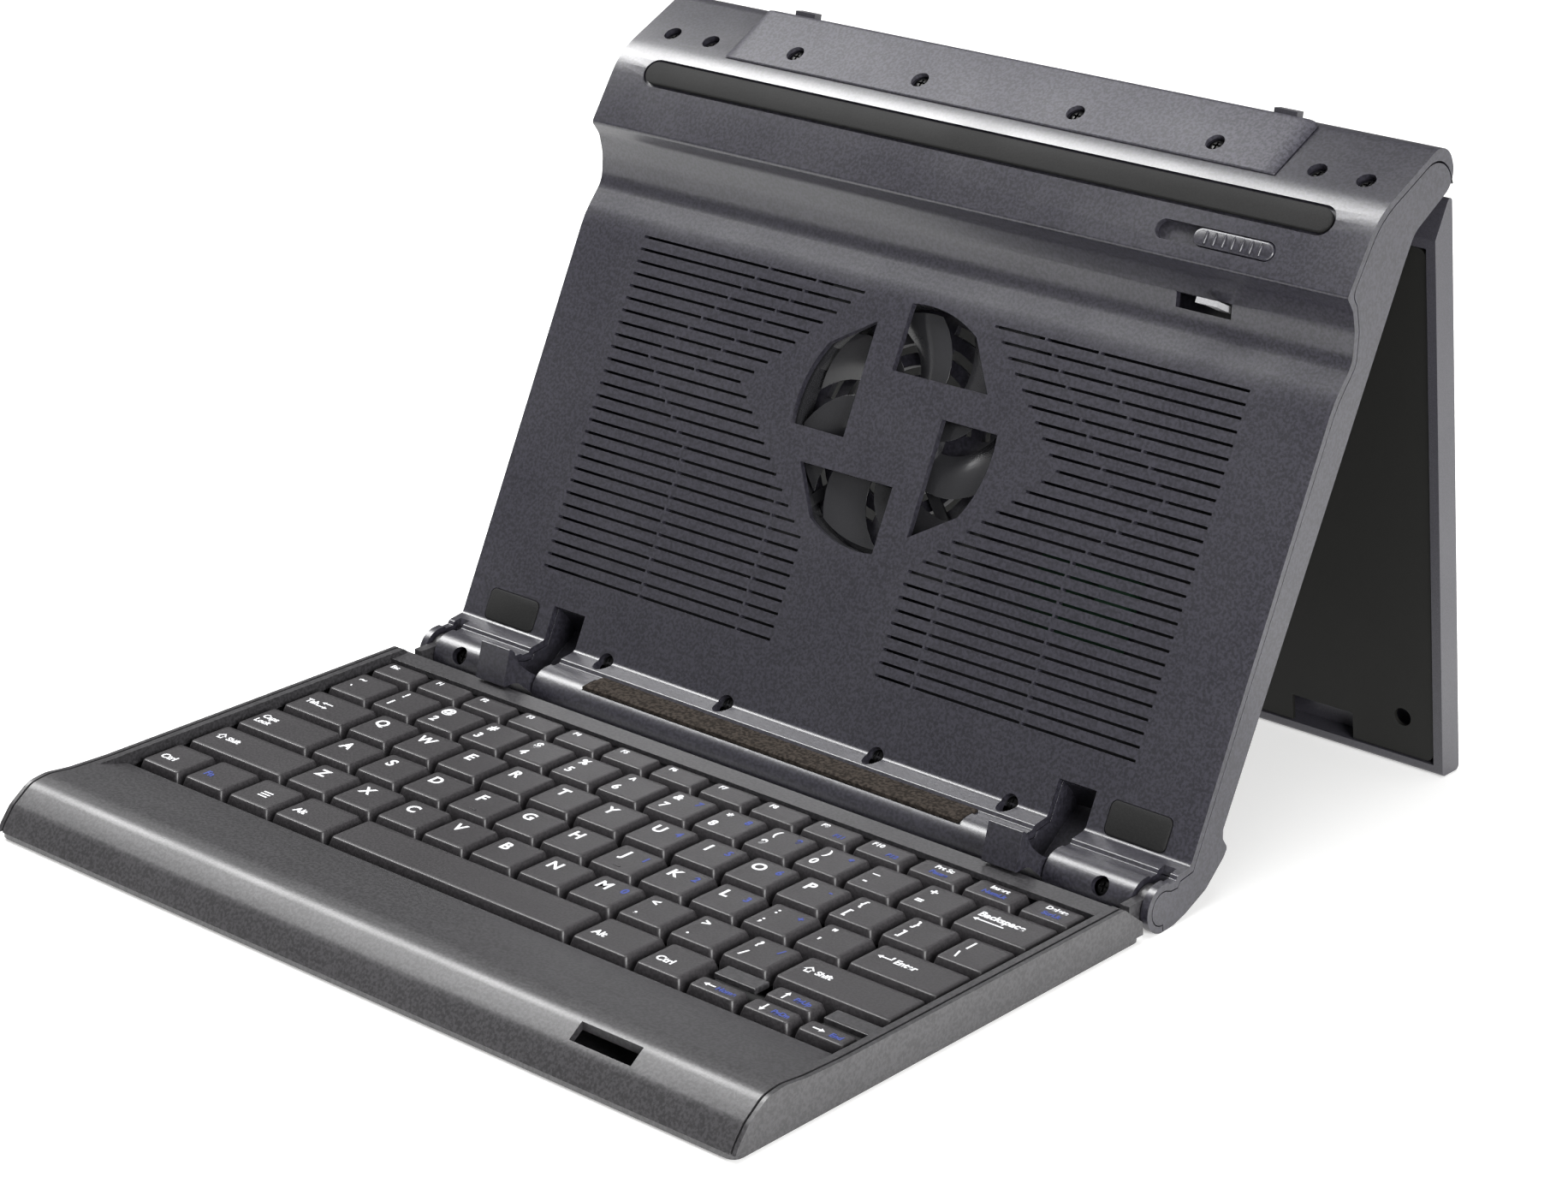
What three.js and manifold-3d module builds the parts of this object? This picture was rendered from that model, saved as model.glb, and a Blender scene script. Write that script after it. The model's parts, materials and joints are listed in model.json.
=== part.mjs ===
// Folding notebook stand with a built-in compact keyboard, a cooling fan and a fold-out rear leg.
// Millimetres, +Z up, +X to the typist's right, +Y away from the typist.
// The stand is shown open on a desk: keyboard tray in front, cooling panel leaning back on its leg.
import * as THREE from 'three';
import { mergeVertices } from 'three/addons/utils/BufferGeometryUtils.js';
import Module from 'manifold-3d';

const wasm = await Module();
wasm.setup();

// ---------------------------------------------------------------- driving dimensions
const KEY_PITCH_X = 19.0;            // full-size key pitch across
const ROW_UNITS = 14.5;              // width of the key field in key pitches
const HALF_WIDTH = 143.2;            // half the width of every panel of the stand
const WALL = 2.0;                    // moulded wall thickness
const GAP = 0.3;                     // clearance between separate pieces
const FIT = 0.25;                    // radial clearance of a pin in its bore

const HINGE_Y = 5.8;                 // keyboard hinge axis, from the tray's rear edge line
const HINGE_Z = 7.2;
const HINGE_PIN_R = 2.0;
const HINGE_EAR_X = 138.8;           // middle of each hinge ear of the tray
const HINGE_EAR_HALF = 1.6;
const HINGE_EAR_R = 5.5;
const PANEL_TILT = 64;               // degrees the cooling panel leans up from the desk
const BARREL_R = 7.2;                // round lower edge of the cooling panel
const FIELD_N = -7.2;                // plane of the cooling field below the hinge axis
const TRAY_FRONT = -168.6;           // front edge of the keyboard tray
const FOOT_CENTRE_Y = -6.884;        // middle of the footprint, from the tray's rear edge line

const LEG_PIVOT = [216.8, -24.7];    // rear leg axis in the panel frame
const LEG_LEAN = 97.74;              // direction of the open leg, degrees from +Y
const LEG_INNER = 2.7;               // inner face of the leg in front of its pivot
const LEG_OUTER = -6.1;              // outer face of the leg behind its pivot
const LEG_PIN_R = 1.6;
const LEG_EYE_R = 4.2;
const LEG_KNUCKLE_X = 91.0;
const LEG_KNUCKLE_HALF = 4.0;
const LEG_RIM = 3.2;                 // width of the leg's rim beside its inner plate

const ARM_X = 100.0;                 // centre of each notebook support arm
const ARM_HALF = 6.0;
const ARM_SLOT_HALF = 6.7;
const ARM_PIVOT = [-2.6, -3.0];      // support arm axis in the panel frame
const ARM_PIN_R = 1.2;
const ARM_EYE_R = 2.6;
const ARM_REACH = 27.2;              // clearance radius of the arm's tip about its axis

const FAN_S = 106.6;                 // fan centre along the panel
const FAN_SIZE = 80;
const FAN_BORE_R = 38.0;
const FAN_AXLE_R = 1.4;
const FAN_BLADES = 7;

const SLOT_ROWS = 28;
const SLOT_PITCH = 4.0;
const SLOT_TOP_S = 143.6;
const SLOT_HEIGHT = 1.0;
const SLOT_OUTER_X = 116.0;
const SLOT_INNER_X = 20.6;
const SLOT_PEAK_X = 61.0;
const SLOT_PEAK_ROW = 9;

const SCREW_R = 2.5;
const RECESS_R = 2.9;
const HUMP_SCREW_X = [-131, -114.7, 114.7, 131];
const COVER_SCREW_X = [-79.5, -29.5, 29.5, 79.5];
const FIELD_SCREW_X = [-79.7, -29.6, 29.6, 79.7];
const BARREL_SCREW_X = 126.0;
const RECESS_DEPTH = 9;              // length of the tool that cuts a screw recess

const LATCH_X = 101.85;              // middle of the latch button at rest
const LATCH_SLOT_X = 95.35;
const LATCH_S = 181.6;
const HOOK_WIDTH = [95.5, 100.5];    // the hook's stem and the button's foot

// ---------------------------------------------------------------- materials
const material = (color, roughness, metalness = 0) =>
  new THREE.MeshStandardMaterial({ color, roughness, metalness });
const shellGrey = () => material(0x56545a, 0.45);
const deckGrey = () => material(0x6a686c, 0.5);
const legGrey = () => material(0x4a4a4e, 0.5);
const keyGrey = () => material(0x4c4b4d, 0.6);
const rubberBlack = () => material(0x2c2c2b, 0.9);
const foamBrown = () => material(0x5c544d, 1.0);
const fanBlack = () => material(0x2a2a2c, 0.4);
const steel = () => material(0x9a9b9e, 0.35, 1.0);
const boardGreen = () => material(0x2d5a3c, 0.5);

// ---------------------------------------------------------------- solids from three.js geometry
function solid(geometry) {
  const bare = geometry.clone();
  bare.deleteAttribute('normal');
  bare.deleteAttribute('uv');
  const merged = mergeVertices(bare, 1e-4);
  return new wasm.Manifold(new wasm.Mesh({
    numProp: 3,
    vertProperties: new Float32Array(merged.attributes.position.array),
    triVerts: new Uint32Array(merged.index.array),
  }));
}

function toGeometry(manifold) {
  const mesh = manifold.getMesh();
  const geometry = new THREE.BufferGeometry();
  geometry.setAttribute('position', new THREE.BufferAttribute(mesh.vertProperties.slice(), 3));
  geometry.setIndex(new THREE.BufferAttribute(mesh.triVerts.slice(), 1));
  geometry.computeVertexNormals();
  return geometry;
}

const join = (...parts) => parts.reduce((a, b) => a.add(b));
const cut = (body, ...tools) => tools.reduce((a, b) => a.subtract(b), body);
const rad = THREE.MathUtils.degToRad;

// Rounds the corners of an outline. A corner is [a, b] or [a, b, radius]; open outlines keep their ends.
function rounded(corners, open = false, step = 26) {
  const out = [];
  const n = corners.length;
  corners.forEach(([x, y, r = 0], i) => {
    const isEnd = open && (i === 0 || i === n - 1);
    if (!r || isEnd) {
      out.push([x, y]);
      return;
    }
    const p = new THREE.Vector2(x, y);
    const before = new THREE.Vector2(...corners[(i + n - 1) % n].slice(0, 2)).sub(p).normalize();
    const after = new THREE.Vector2(...corners[(i + 1) % n].slice(0, 2)).sub(p).normalize();
    const half = Math.acos(THREE.MathUtils.clamp(before.dot(after), -1, 1)) / 2;
    const reach = r / Math.tan(half);
    const centre = before.clone().add(after).normalize().multiplyScalar(r / Math.sin(half)).add(p);
    const from = before.multiplyScalar(reach).add(p).sub(centre).angle();
    let sweep = after.multiplyScalar(reach).add(p).sub(centre).angle() - from;
    sweep = Math.atan2(Math.sin(sweep), Math.cos(sweep));
    const count = Math.max(1, Math.ceil(Math.abs(THREE.MathUtils.radToDeg(sweep)) / step));
    for (let k = 0; k <= count; k++) {
      const angle = from + sweep * k / count;
      out.push([centre.x + r * Math.cos(angle), centre.y + r * Math.sin(angle)]);
    }
  });
  return out;
}

// Moves an open outline sideways by d, to its left for positive d, keeping its round corners.
function offset(corners, d) {
  const left = (a, b) => new THREE.Vector2(a[1] - b[1], b[0] - a[0]).normalize();
  return corners.map(([x, y, r = 0], i) => {
    const into = i > 0 ? left(corners[i - 1], corners[i]) : null;
    const away = i < corners.length - 1 ? left(corners[i], corners[i + 1]) : null;
    const n1 = into ?? away;
    const n2 = away ?? into;
    const mitre = n1.clone().add(n2).multiplyScalar(1 / (1 + n1.dot(n2)));
    const turn = n1.x * n2.y - n1.y * n2.x;
    const radius = r ? Math.max(0.2, r - Math.sign(turn) * d) : 0;
    return [x + mitre.x * d, y + mitre.y * d, radius];
  });
}

const shapeOf = (outline) => new THREE.Shape(outline.map(([a, b]) => new THREE.Vector2(a, b)));
const extrude = (outline, depth) =>
  new THREE.ExtrudeGeometry(shapeOf(outline), { depth, bevelEnabled: false, curveSegments: 8 });

const ALONG_X = new THREE.Matrix4().makeBasis(
  new THREE.Vector3(0, 1, 0), new THREE.Vector3(0, 0, 1), new THREE.Vector3(1, 0, 0));

// A side outline of [y, z] points, extruded from x0 to x1.
function sideways(outline, x0, x1) {
  const geometry = extrude(outline, x1 - x0);
  geometry.applyMatrix4(ALONG_X);
  return solid(geometry.translate(x0, 0, 0));
}

// A plan outline of [x, y] points, extruded from z0 to z1.
const upright = (outline, z0, z1) => solid(extrude(outline, z1 - z0).translate(0, 0, z0));

const block = (x0, x1, y0, y1, z0, z1) => solid(
  new THREE.BoxGeometry(x1 - x0, y1 - y0, z1 - z0).translate((x0 + x1) / 2, (y0 + y1) / 2, (z0 + z1) / 2));

const rectangle = (x0, x1, y0, y1, r = 0, step = 30) =>
  rounded([[x0, y0, r], [x1, y0, r], [x1, y1, r], [x0, y1, r]], false, step);

function capsule(halfLength, halfWidth, step = 30) {
  return rectangle(-halfLength, halfLength, -halfWidth, halfWidth, halfWidth - 0.01, step);
}

const circle = (x, y, r, sides = 20) => Array.from({ length: sides }, (_, i) => {
  const angle = 2 * Math.PI * (i + 0.5) / sides;
  return [x + r * Math.cos(angle), y + r * Math.sin(angle)];
});

// A round rod along X through (y, z).
const rod = (y, z, r, x0, x1, sides = 14) => sideways(circle(y, z, r, sides), x0, x1);

// A geometry built flat about its own origin, turned about X and moved into place.
function placed(geometry, x, y, z, degreesAboutX) {
  const turn = new THREE.Matrix4().makeRotationX(rad(degreesAboutX));
  turn.setPosition(x, y, z);
  return solid(geometry.clone().applyMatrix4(turn));
}

const bothSides = (make) => [-1, 1].map(make);
const between = (side, a, b) => (side > 0 ? [a, b] : [-b, -a]);

function named(name, body, finish) {
  const mesh = new THREE.Mesh(toGeometry(body), finish);
  mesh.name = name;
  return mesh;
}

// ---------------------------------------------------------------- cooling panel outlines
// Panel frame: X across, Y up the cooling field, Z out of the field; the hinge axis is its origin.
const BARREL_START = -154;
const BARREL_END = -334;
const polar = (r, degrees) => [r * Math.cos(rad(degrees)), r * Math.sin(rad(degrees))];
const arc = (r, from, to, count, [cy, cz] = [0, 0]) => Array.from({ length: count + 1 }, (_, i) => {
  const [y, z] = polar(r, from + (to - from) * i / count);
  return [cy + y, cz + z];
});

// A point of the tray frame, written in the panel frame.
function fromTray(y, z) {
  const c = Math.cos(rad(PANEL_TILT));
  const s = Math.sin(rad(PANEL_TILT));
  return [(y - HINGE_Y) * c + (z - HINGE_Z) * s, (z - HINGE_Z) * c - (y - HINGE_Y) * s];
}

// From the cooling field over the hollow, the ridge and the hump to the rear edge.
const UPPER_LINE = [
  [13.0, FIELD_N, 2.0], [146.0, FIELD_N, 30.0],
  [158.0, -10.3, 9.0], [166.0, -7.0, 12.0], [171.4, -2.7, 6.0], [173.9, 2.0, 1.3],
  [198.2, -0.95, 24.0], [226.4, -23.2, 6.8], [217.5, -34.5],
];
const SHELF = [[7.3, 1.6, 0.6], [6.9, 0.6, 0.5], [8.3, -2.0, 0.5], [9.7, -2.2, 0.8]];
const SHELF_BACK = [[5.3, -1.2], [6.6, -4.0], [8.5, -4.2], [11.9, FIELD_N - WALL]];
const BACK_LINE = [
  [217.5, -34.5, 6.8], [198.6, -21.5, 8.0], [190.0, -21.0, 4.0], [30.0, -18.0, 4.0], [25.0, -17.9, 1.5],
  [22.4, -19.2, 1.5], [20.4, -22.8, 1.5], [17.4, -22.4, 3.0], [7.7, -18.4, 4.0], [-0.1, -11.85, 3.0],
  [-3.9, -7.7, 3.0],
];
const PANEL_OUTLINE = rounded([
  ...arc(BARREL_R, BARREL_START, BARREL_END, 9), ...SHELF, ...UPPER_LINE.slice(0, -1), ...BACK_LINE,
]);

// The line d behind the front surface.
function skinLine(d) {
  const extra = d - WALL;
  const start = BARREL_START + THREE.MathUtils.radToDeg(extra / 5);
  return rounded([
    polar(12, start), ...arc(BARREL_R - d, start, -346, 7),
    ...SHELF_BACK.map(([s, n]) => [s - 0.8 * extra, n - extra]),
    ...offset(UPPER_LINE, -d).slice(1),
  ], true);
}

// Everything behind the front skin, which is d thick.
function behindSkin(d) {
  const line = skinLine(d);
  const [tipS, tipN] = line[line.length - 1];
  return sideways([...line, [tipS, tipN - 30], [-30, -60], [-30, -30]], -HALF_WIDTH - 5, HALF_WIDTH + 5);
}

// Hollow of the panel, one wall inside its outline.
const HOLLOW_TIP_S = 213.5;
const HOLLOW_BACK = rounded([
  [HOLLOW_TIP_S, -27.0], [199.9, -19.2, 4], [190.0, -18.9, 4], [30.0, -15.9, 3], [24.6, -15.8, 1],
  [20.2, -18.6, 1], [19.0, -20.6, 1], [17.6, -20.4, 2], [8.4, -16.5, 3], [0.9, -10.2, 2], [-2.0, -7.0],
], true);
function hollow(x0, x1) {
  const front = skinLine(WALL).slice(1).filter(([s]) => s < HOLLOW_TIP_S);
  return sideways([...front, ...HOLLOW_BACK], x0, x1);
}

// Room for a support arm to swing from its working place down into the panel.
const ARM_POCKET = [
  [-9, 2], [-9, 30], [24.3, 30], [24.3, FIELD_N],
  ...arc(ARM_REACH, -12, -37, 3, ARM_PIVOT),
  [18.4, -20.5], [16.4, -19.9], [11.3, -16.2], [1.4, -10.9], [-3.3, -5.9], [-5.5, -4.2], [-5.5, -2.4],
  [-5.2, -0.5], [-6.6, 1.4],
];
const armPockets = () => bothSides((side) => sideways(ARM_POCKET,
  ...between(side, ARM_X - ARM_SLOT_HALF, ARM_X + ARM_SLOT_HALF)));

// Room for a hinge ear of the tray and the web that carries it.
function earSlots() {
  return bothSides((side) => {
    const half = HINGE_EAR_HALF + 0.4;
    const [x0, x1] = between(side, HINGE_EAR_X - half, HINGE_EAR_X + half);
    return join(block(x0, x1, -9, 13, -4.5, 12), rod(0, 0, HINGE_EAR_R + GAP, x0, x1));
  });
}

// Room at the rear edge for a leg knuckle and its stop lug.
const KNUCKLE_SLOT = [
  [195, -21.3], [211.5, -20.7], [216.2, -22.7], [227.7, -19.3], [236, -19.3], [236, -50], [195, -50],
];
function knuckleSlots() {
  return bothSides((side) => {
    const half = LEG_KNUCKLE_HALF + 2 * GAP;
    const [x0, x1] = between(side, LEG_KNUCKLE_X - half, LEG_KNUCKLE_X + half);
    return join(sideways(KNUCKLE_SLOT, x0, x1), rod(...LEG_PIVOT, LEG_EYE_R + 2 * GAP, x0, x1));
  });
}

// ---------------------------------------------------------------- cooling panel pieces
function fanWindows() {
  const left = -6.5;
  const low = 16.7;
  const fromAngle = Math.atan2(30.8, 19.0);
  const toAngle = Math.acos(left / FAN_BORE_R);
  const outline = [[left, low], [29.8, 17.0]];
  for (let k = 0; k <= 5; k++) {
    const angle = fromAngle + (toAngle - fromAngle) * k / 5;
    outline.push([FAN_BORE_R * Math.cos(angle), FAN_BORE_R * Math.sin(angle)]);
  }
  return [0, 90, 180, 270].map((turn) => solid(
    extrude(outline, 8).rotateZ(rad(-turn)).translate(0, FAN_S, FIELD_N - 4)));
}

function ventSlots() {
  const tools = [];
  for (let row = 0; row < SLOT_ROWS; row++) {
    const s = SLOT_TOP_S - row * SLOT_PITCH;
    const inner = Math.max(SLOT_INNER_X, SLOT_PEAK_X - SLOT_PITCH * Math.abs(row - SLOT_PEAK_ROW));
    for (const side of [-1, 1]) {
      const [x0, x1] = between(side, inner, SLOT_OUTER_X);
      tools.push(block(x0, x1, s - SLOT_HEIGHT / 2, s + SLOT_HEIGHT / 2, FIELD_N - 3, FIELD_N + 2));
    }
  }
  return tools;
}

const recess = (x, s, n, degrees) => placed(
  new THREE.CylinderGeometry(RECESS_R, RECESS_R, RECESS_DEPTH, 12).rotateX(Math.PI / 2), x, s, n, degrees);

// Places on the panel, as [along, out, angle].
const TOP_FACE = [208.2, -8.8, -38.3];
const COVER_SCREW_PLACE = [210.2, -7.6, -30];
const FIELD_SCREW_PLACE = [11.2, -4.6, 0];
const BARREL_SCREW_PLACE = [0.7, 7.1, -6];
const STRIP_PLACE = [193.8, -0.7, -14.0];
const STRIP_HALF = 129.4;
const STRIP_HALF_WIDTH = 3.75;
const LATCH_PLACE = [LATCH_S, 1.05, -6.9];

function panelFrontShell() {
  const outer = sideways(PANEL_OUTLINE, -HALF_WIDTH, HALF_WIDTH);
  const skin = cut(outer, behindSkin(WALL));
  const groove = placed(
    extrude(capsule(STRIP_HALF + 1, STRIP_HALF_WIDTH + 1), 6).translate(0, 0, -1.3), 0, ...STRIP_PLACE);
  const foamSeat = sideways([fromTray(-1, 13.0), fromTray(8.9, 13.0), fromTray(8.9, 20), fromTray(-1, 20)],
    -74.4, 74.4);
  const buttonSlot = placed(
    extrude(capsule(20.45, 3.0), 8).translate(0, 0, -4), LATCH_SLOT_X, ...LATCH_PLACE);
  const hookWindow = block(82.8, 102.0, 161.8, 166.0, -16, 2);
  const pads = bothSides((side) => upright(
    rectangle(...between(side, 112.5, 134.0), 13.4, 24.0, 2.2), FIELD_N - 0.6, FIELD_N + 3));
  return cut(skin, groove, foamSeat, buttonSlot, hookWindow, ...pads,
    ...armPockets(), ...armPinBores(), ...earSlots(), ...knuckleSlots(), ...fanWindows(), ...ventSlots(),
    ...HUMP_SCREW_X.map((x) => recess(x, ...TOP_FACE)), ...coverRecesses(),
    ...FIELD_SCREW_X.map((x) => recess(x, ...FIELD_SCREW_PLACE)),
    ...bothSides((side) => recess(side * BARREL_SCREW_X, ...BARREL_SCREW_PLACE)));
}

// Round openings behind the fan, as four rings of quarter arcs.
function rearGrille() {
  const tools = [];
  for (const radius of [13, 20, 27, 34]) {
    for (const quarter of [0, 1, 2, 3]) {
      const half = 45 - THREE.MathUtils.radToDeg(4 / radius);
      const middle = 45 + 90 * quarter;
      const ring = [
        ...arc(radius - 1.5, middle - half, middle + half, 3),
        ...arc(radius + 1.5, middle + half, middle - half, 3),
      ];
      tools.push(solid(extrude(ring.reverse(), 8).translate(0, FAN_S, -23)));
    }
  }
  return tools;
}

const armPinBores = () => bothSides((side) =>
  rod(...ARM_PIVOT, ARM_PIN_R + FIT, ...between(side, ARM_X - 8.6, ARM_X + 8.6), 12));

function panelRearShell() {
  const outer = sideways(PANEL_OUTLINE, -HALF_WIDTH, HALF_WIDTH);
  const tub = outer.intersect(behindSkin(WALL + GAP));
  const body = cut(tub, hollow(-HALF_WIDTH + WALL, HALF_WIDTH - WALL));
  const boss = (side, x0, x1, s0, s1) => tub.intersect(block(...between(side, x0, x1), s0, s1, -60, 30));
  const bosses = bothSides((side) => [
    boss(side, ARM_X - 9.2, ARM_X + 9.2, -12, 26.5),
    boss(side, 130.6, 136.8, -12, 9),
    boss(side, LEG_KNUCKLE_X - 10, LEG_KNUCKLE_X + 10, 205.5, 240),
  ]).flat();
  const bores = bothSides((side) => [
    rod(0, 0, HINGE_PIN_R + FIT, ...between(side, 131.2, 142.5)),
    rod(...LEG_PIVOT, LEG_PIN_R + FIT, ...between(side, LEG_KNUCKLE_X - 7.5, LEG_KNUCKLE_X + 7.5), 16),
  ]).flat();
  return cut(join(body, ...bosses), ...armPockets(), ...armPinBores(), ...earSlots(), ...knuckleSlots(),
    ...bores, ...rearGrille(),
    ...bothSides((side) => recess(side * BARREL_SCREW_X, ...BARREL_SCREW_PLACE)));
}

const coverRecesses = () => COVER_SCREW_X.map((x) => recess(x, ...COVER_SCREW_PLACE));

function hingeCover() {
  const lift = GAP / Math.cos(rad(TOP_FACE[2]));
  const onTop = (s) => -0.95 - (s - 198.2) * Math.tan(rad(-TOP_FACE[2])) + lift;
  const wedge = sideways(rounded([
    [203.8, onTop(203.8)], [204.3, onTop(203.8) + 0.25], [222.9, -16.1, 2.0], [223.6, onTop(223.6)],
  ]), -104, 104);
  return cut(wedge, ...coverRecesses());
}

const topStrip = () => placed(
  extrude(capsule(STRIP_HALF, STRIP_HALF_WIDTH), 1.6).translate(0, 0, -1.0), 0, ...STRIP_PLACE);

const cornerPad = (side) => upright(
  rectangle(...between(side, 112.8, 133.7), 13.7, 23.7, 2.0), FIELD_N - 0.3, FIELD_N + 0.5);

const foamStrip = () => sideways(rounded([
  fromTray(1.5, 13.3), fromTray(8.5, 13.3), [...fromTray(8.5, 14.8), 0.5], [...fromTray(1.5, 14.8), 0.5],
]), -74, 74);

const fanBoard = () => join(
  block(60, 96, 60, 84, -16.0, -14.6), block(84, 95, 74, 83, -14.7, -11.4), block(64, 72, 64, 72, -14.7, -13.4));

// ---------------------------------------------------------------- fan
const FAN_BACK = -16.2;
const FAN_FRONT = -10.1;

function fanFrame() {
  const half = FAN_SIZE / 2;
  const body = upright(rectangle(-half, half, FAN_S - half, FAN_S + half, 4), FAN_BACK, FAN_FRONT);
  const bore = upright(circle(0, FAN_S, FAN_BORE_R, 30), FAN_BACK - 1, FAN_FRONT + 1);
  const hub = circle(0, 0, 12, 24);
  const struts = [0, 1].map((k) =>
    block(-FAN_BORE_R - 1, FAN_BORE_R + 1, -1.8, 1.8, FAN_BACK, FAN_BACK + 1).rotate([0, 0, 45 + 90 * k]));
  const spider = join(upright(hub, FAN_BACK, FAN_BACK + 1), ...struts).translate([0, FAN_S, 0]);
  return join(cut(body, bore), spider);
}

function fanRotor() {
  const hubR = 15.0;
  const span = 36.8 - hubR + 1;
  const blade = (turn) => {
    const lead = [];
    const trail = [];
    for (let k = 0; k <= 3; k++) {
      const radius = hubR - 1 + span * k / 3;
      const sweep = turn + 32 * (k / 3) ** 1.4;
      lead.push(polar(radius, sweep));
      trail.unshift(polar(radius, sweep + 34));
    }
    return upright([...lead, ...trail], -14.1, -12.7);
  };
  const blades = Array.from({ length: FAN_BLADES }, (_, i) => blade(360 * i / FAN_BLADES));
  const hub = upright(circle(0, 0, hubR, 24), -14.9, -10.5);
  const bore = upright(circle(0, 0, FAN_AXLE_R + FIT, 12), -16, -11.7);
  return cut(join(hub, ...blades), bore).translate([0, FAN_S, 0]);
}

const fanAxle = () => upright(circle(0, FAN_S, FAN_AXLE_R, 12), FAN_BACK + 1 + 0.1, -12.0);

// ---------------------------------------------------------------- latch
function latchButton() {
  const plate = placed(extrude(capsule(13.65, 2.7), 2.4).translate(0, 0, -1.8), LATCH_X, ...LATCH_PLACE);
  const ribs = Array.from({ length: 7 }, (_, i) => placed(
    new THREE.CylinderGeometry(0.55, 0.55, 4.4, 6).translate(0, 0, 0.6),
    LATCH_X + (i - 3) * 2.9, ...LATCH_PLACE));
  return join(plate, block(...HOOK_WIDTH, 179.6, 183.6, -5.2, 0.4), ...ribs);
}

const latchHook = () => join(
  block(...HOOK_WIDTH, 163.7, 165.4, -12.0, -2.2),
  block(93.0, HOOK_WIDTH[1], 163.7, 165.4, -3.9, -2.2),
  block(...HOOK_WIDTH, 163.7, 183.4, -12.0, -10.6),
  block(...HOOK_WIDTH, 179.8, 183.4, -12.0, -5.5));

// ---------------------------------------------------------------- notebook support arms
function supportArm(side) {
  const [x0, x1] = between(side, ARM_X - ARM_HALF, ARM_X + ARM_HALF);
  const rib = [
    [-3.2, 19.1], [-0.4, 13.3], [-2.2, 8.0], ...arc(ARM_EYE_R, 165, 360, 8, ARM_PIVOT),
    [3.6, 3.0], [6.3, 13.8], [8.6, 19.6], [8.8, 21.4],
  ];
  const plate = sideways([[-3.2, 19.1], [-2.6, 17.8], [8.5, 19.5], [8.8, 21.4]], x0, x1);
  const shin = sideways([[-2.6, 17.8], [-0.4, 13.3], [1.2, 13.6], [-0.6, 18.4]], x0, x1);
  const eye = rod(...ARM_PIVOT, ARM_EYE_R, x0, x1);
  const body = join(plate, shin, eye, sideways(rib, x0, x0 + 2), sideways(rib, x1 - 2, x1));
  return cut(body, rod(...ARM_PIVOT, ARM_PIN_R + FIT, x0 - 1, x1 + 1, 12));
}

const armPin = (side) => rod(...ARM_PIVOT, ARM_PIN_R, ...between(side, ARM_X - 8.3, ARM_X + 8.3), 12);
const hingePin = (side) => rod(0, 0, HINGE_PIN_R, ...between(side, 131.5, 142.2));
const legPin = (side) =>
  rod(...LEG_PIVOT, LEG_PIN_R, ...between(side, LEG_KNUCKLE_X - 7.2, LEG_KNUCKLE_X + 7.2), 16);

function coverScrew(x) {
  const head = new THREE.CylinderGeometry(SCREW_R, SCREW_R, 1.4, 12).rotateX(Math.PI / 2);
  const cross = (w, h) => new THREE.BoxGeometry(w, h, 1.2).translate(0, 0, 0.7);
  const place = [x, 209.0, -9.7, -30];
  return cut(placed(head, ...place), placed(cross(2.8, 0.7), ...place), placed(cross(0.7, 2.8), ...place));
}

// ---------------------------------------------------------------- rear leg
// Leg frame: Y up the leg to its pivot, Z towards the cooling panel.
const PIVOT_Z = HINGE_Z + LEG_PIVOT[0] * Math.sin(rad(PANEL_TILT)) + LEG_PIVOT[1] * Math.cos(rad(PANEL_TILT));
const PIVOT_Y = HINGE_Y + LEG_PIVOT[0] * Math.cos(rad(PANEL_TILT)) - LEG_PIVOT[1] * Math.sin(rad(PANEL_TILT));
const FOOT_RUBBER = 0.5;

// Place along the leg, at depth z, that is the given height above the desk.
const footAt = (z, height) => (height - PIVOT_Z - z * Math.cos(rad(LEG_LEAN))) / Math.sin(rad(LEG_LEAN));

function legOuterShell() {
  const slab = sideways(rounded([
    [footAt(LEG_OUTER, FOOT_RUBBER), LEG_OUTER, 1.5], [-6.6, LEG_OUTER, 1.2], [-19.5, LEG_INNER, 1.0],
    [footAt(LEG_INNER, FOOT_RUBBER), LEG_INNER, 1.5],
  ]), -HALF_WIDTH, HALF_WIDTH);
  const pocket = block(
    -HALF_WIDTH + LEG_RIM, HALF_WIDTH - LEG_RIM, -189.0, -22.5, LEG_OUTER + WALL, LEG_INNER + 1);
  const knuckles = bothSides((side) => {
    const [x0, x1] = between(side, LEG_KNUCKLE_X - LEG_KNUCKLE_HALF, LEG_KNUCKLE_X + LEG_KNUCKLE_HALF);
    return join(rod(0, 0, LEG_EYE_R, x0, x1),
      sideways([[-21, 2.4], [-21, -5.6], [-9, -5.6], [-1.5, -3.9], [-1.0, 2.6]], x0, x1),
      sideways([[0.48, 1.53], [-0.48, -1.53], [8.11, -4.23], [9.07, -1.17]], x0, x1));
  });
  const bores = bothSides((side) => rod(0, 0, LEG_PIN_R + FIT, ...between(side, 80, 102), 16));
  const strip = sideways([[-200, -3.9], [-190.9, -3.9], [-190.9, 0.9], [-200, 0.9]], -70.4, 70.4);
  return cut(join(cut(slab, pocket), ...knuckles), ...bores, strip);
}

function legInnerCover() {
  const halfWidth = HALF_WIDTH - LEG_RIM - 0.4;
  const plate = block(-halfWidth, halfWidth, -188.6, -22.9, 0.9, LEG_INNER);
  const notches = bothSides((side) => block(...between(side, 89, 111), -190, -180, 0, 4));
  const ribs = [-90, -45, 0, 45, 90].map((x) => block(x - 0.9, x + 0.9, -178, -30, -3.6, 1.0));
  return cut(join(plate, ...ribs), ...notches);
}

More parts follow.
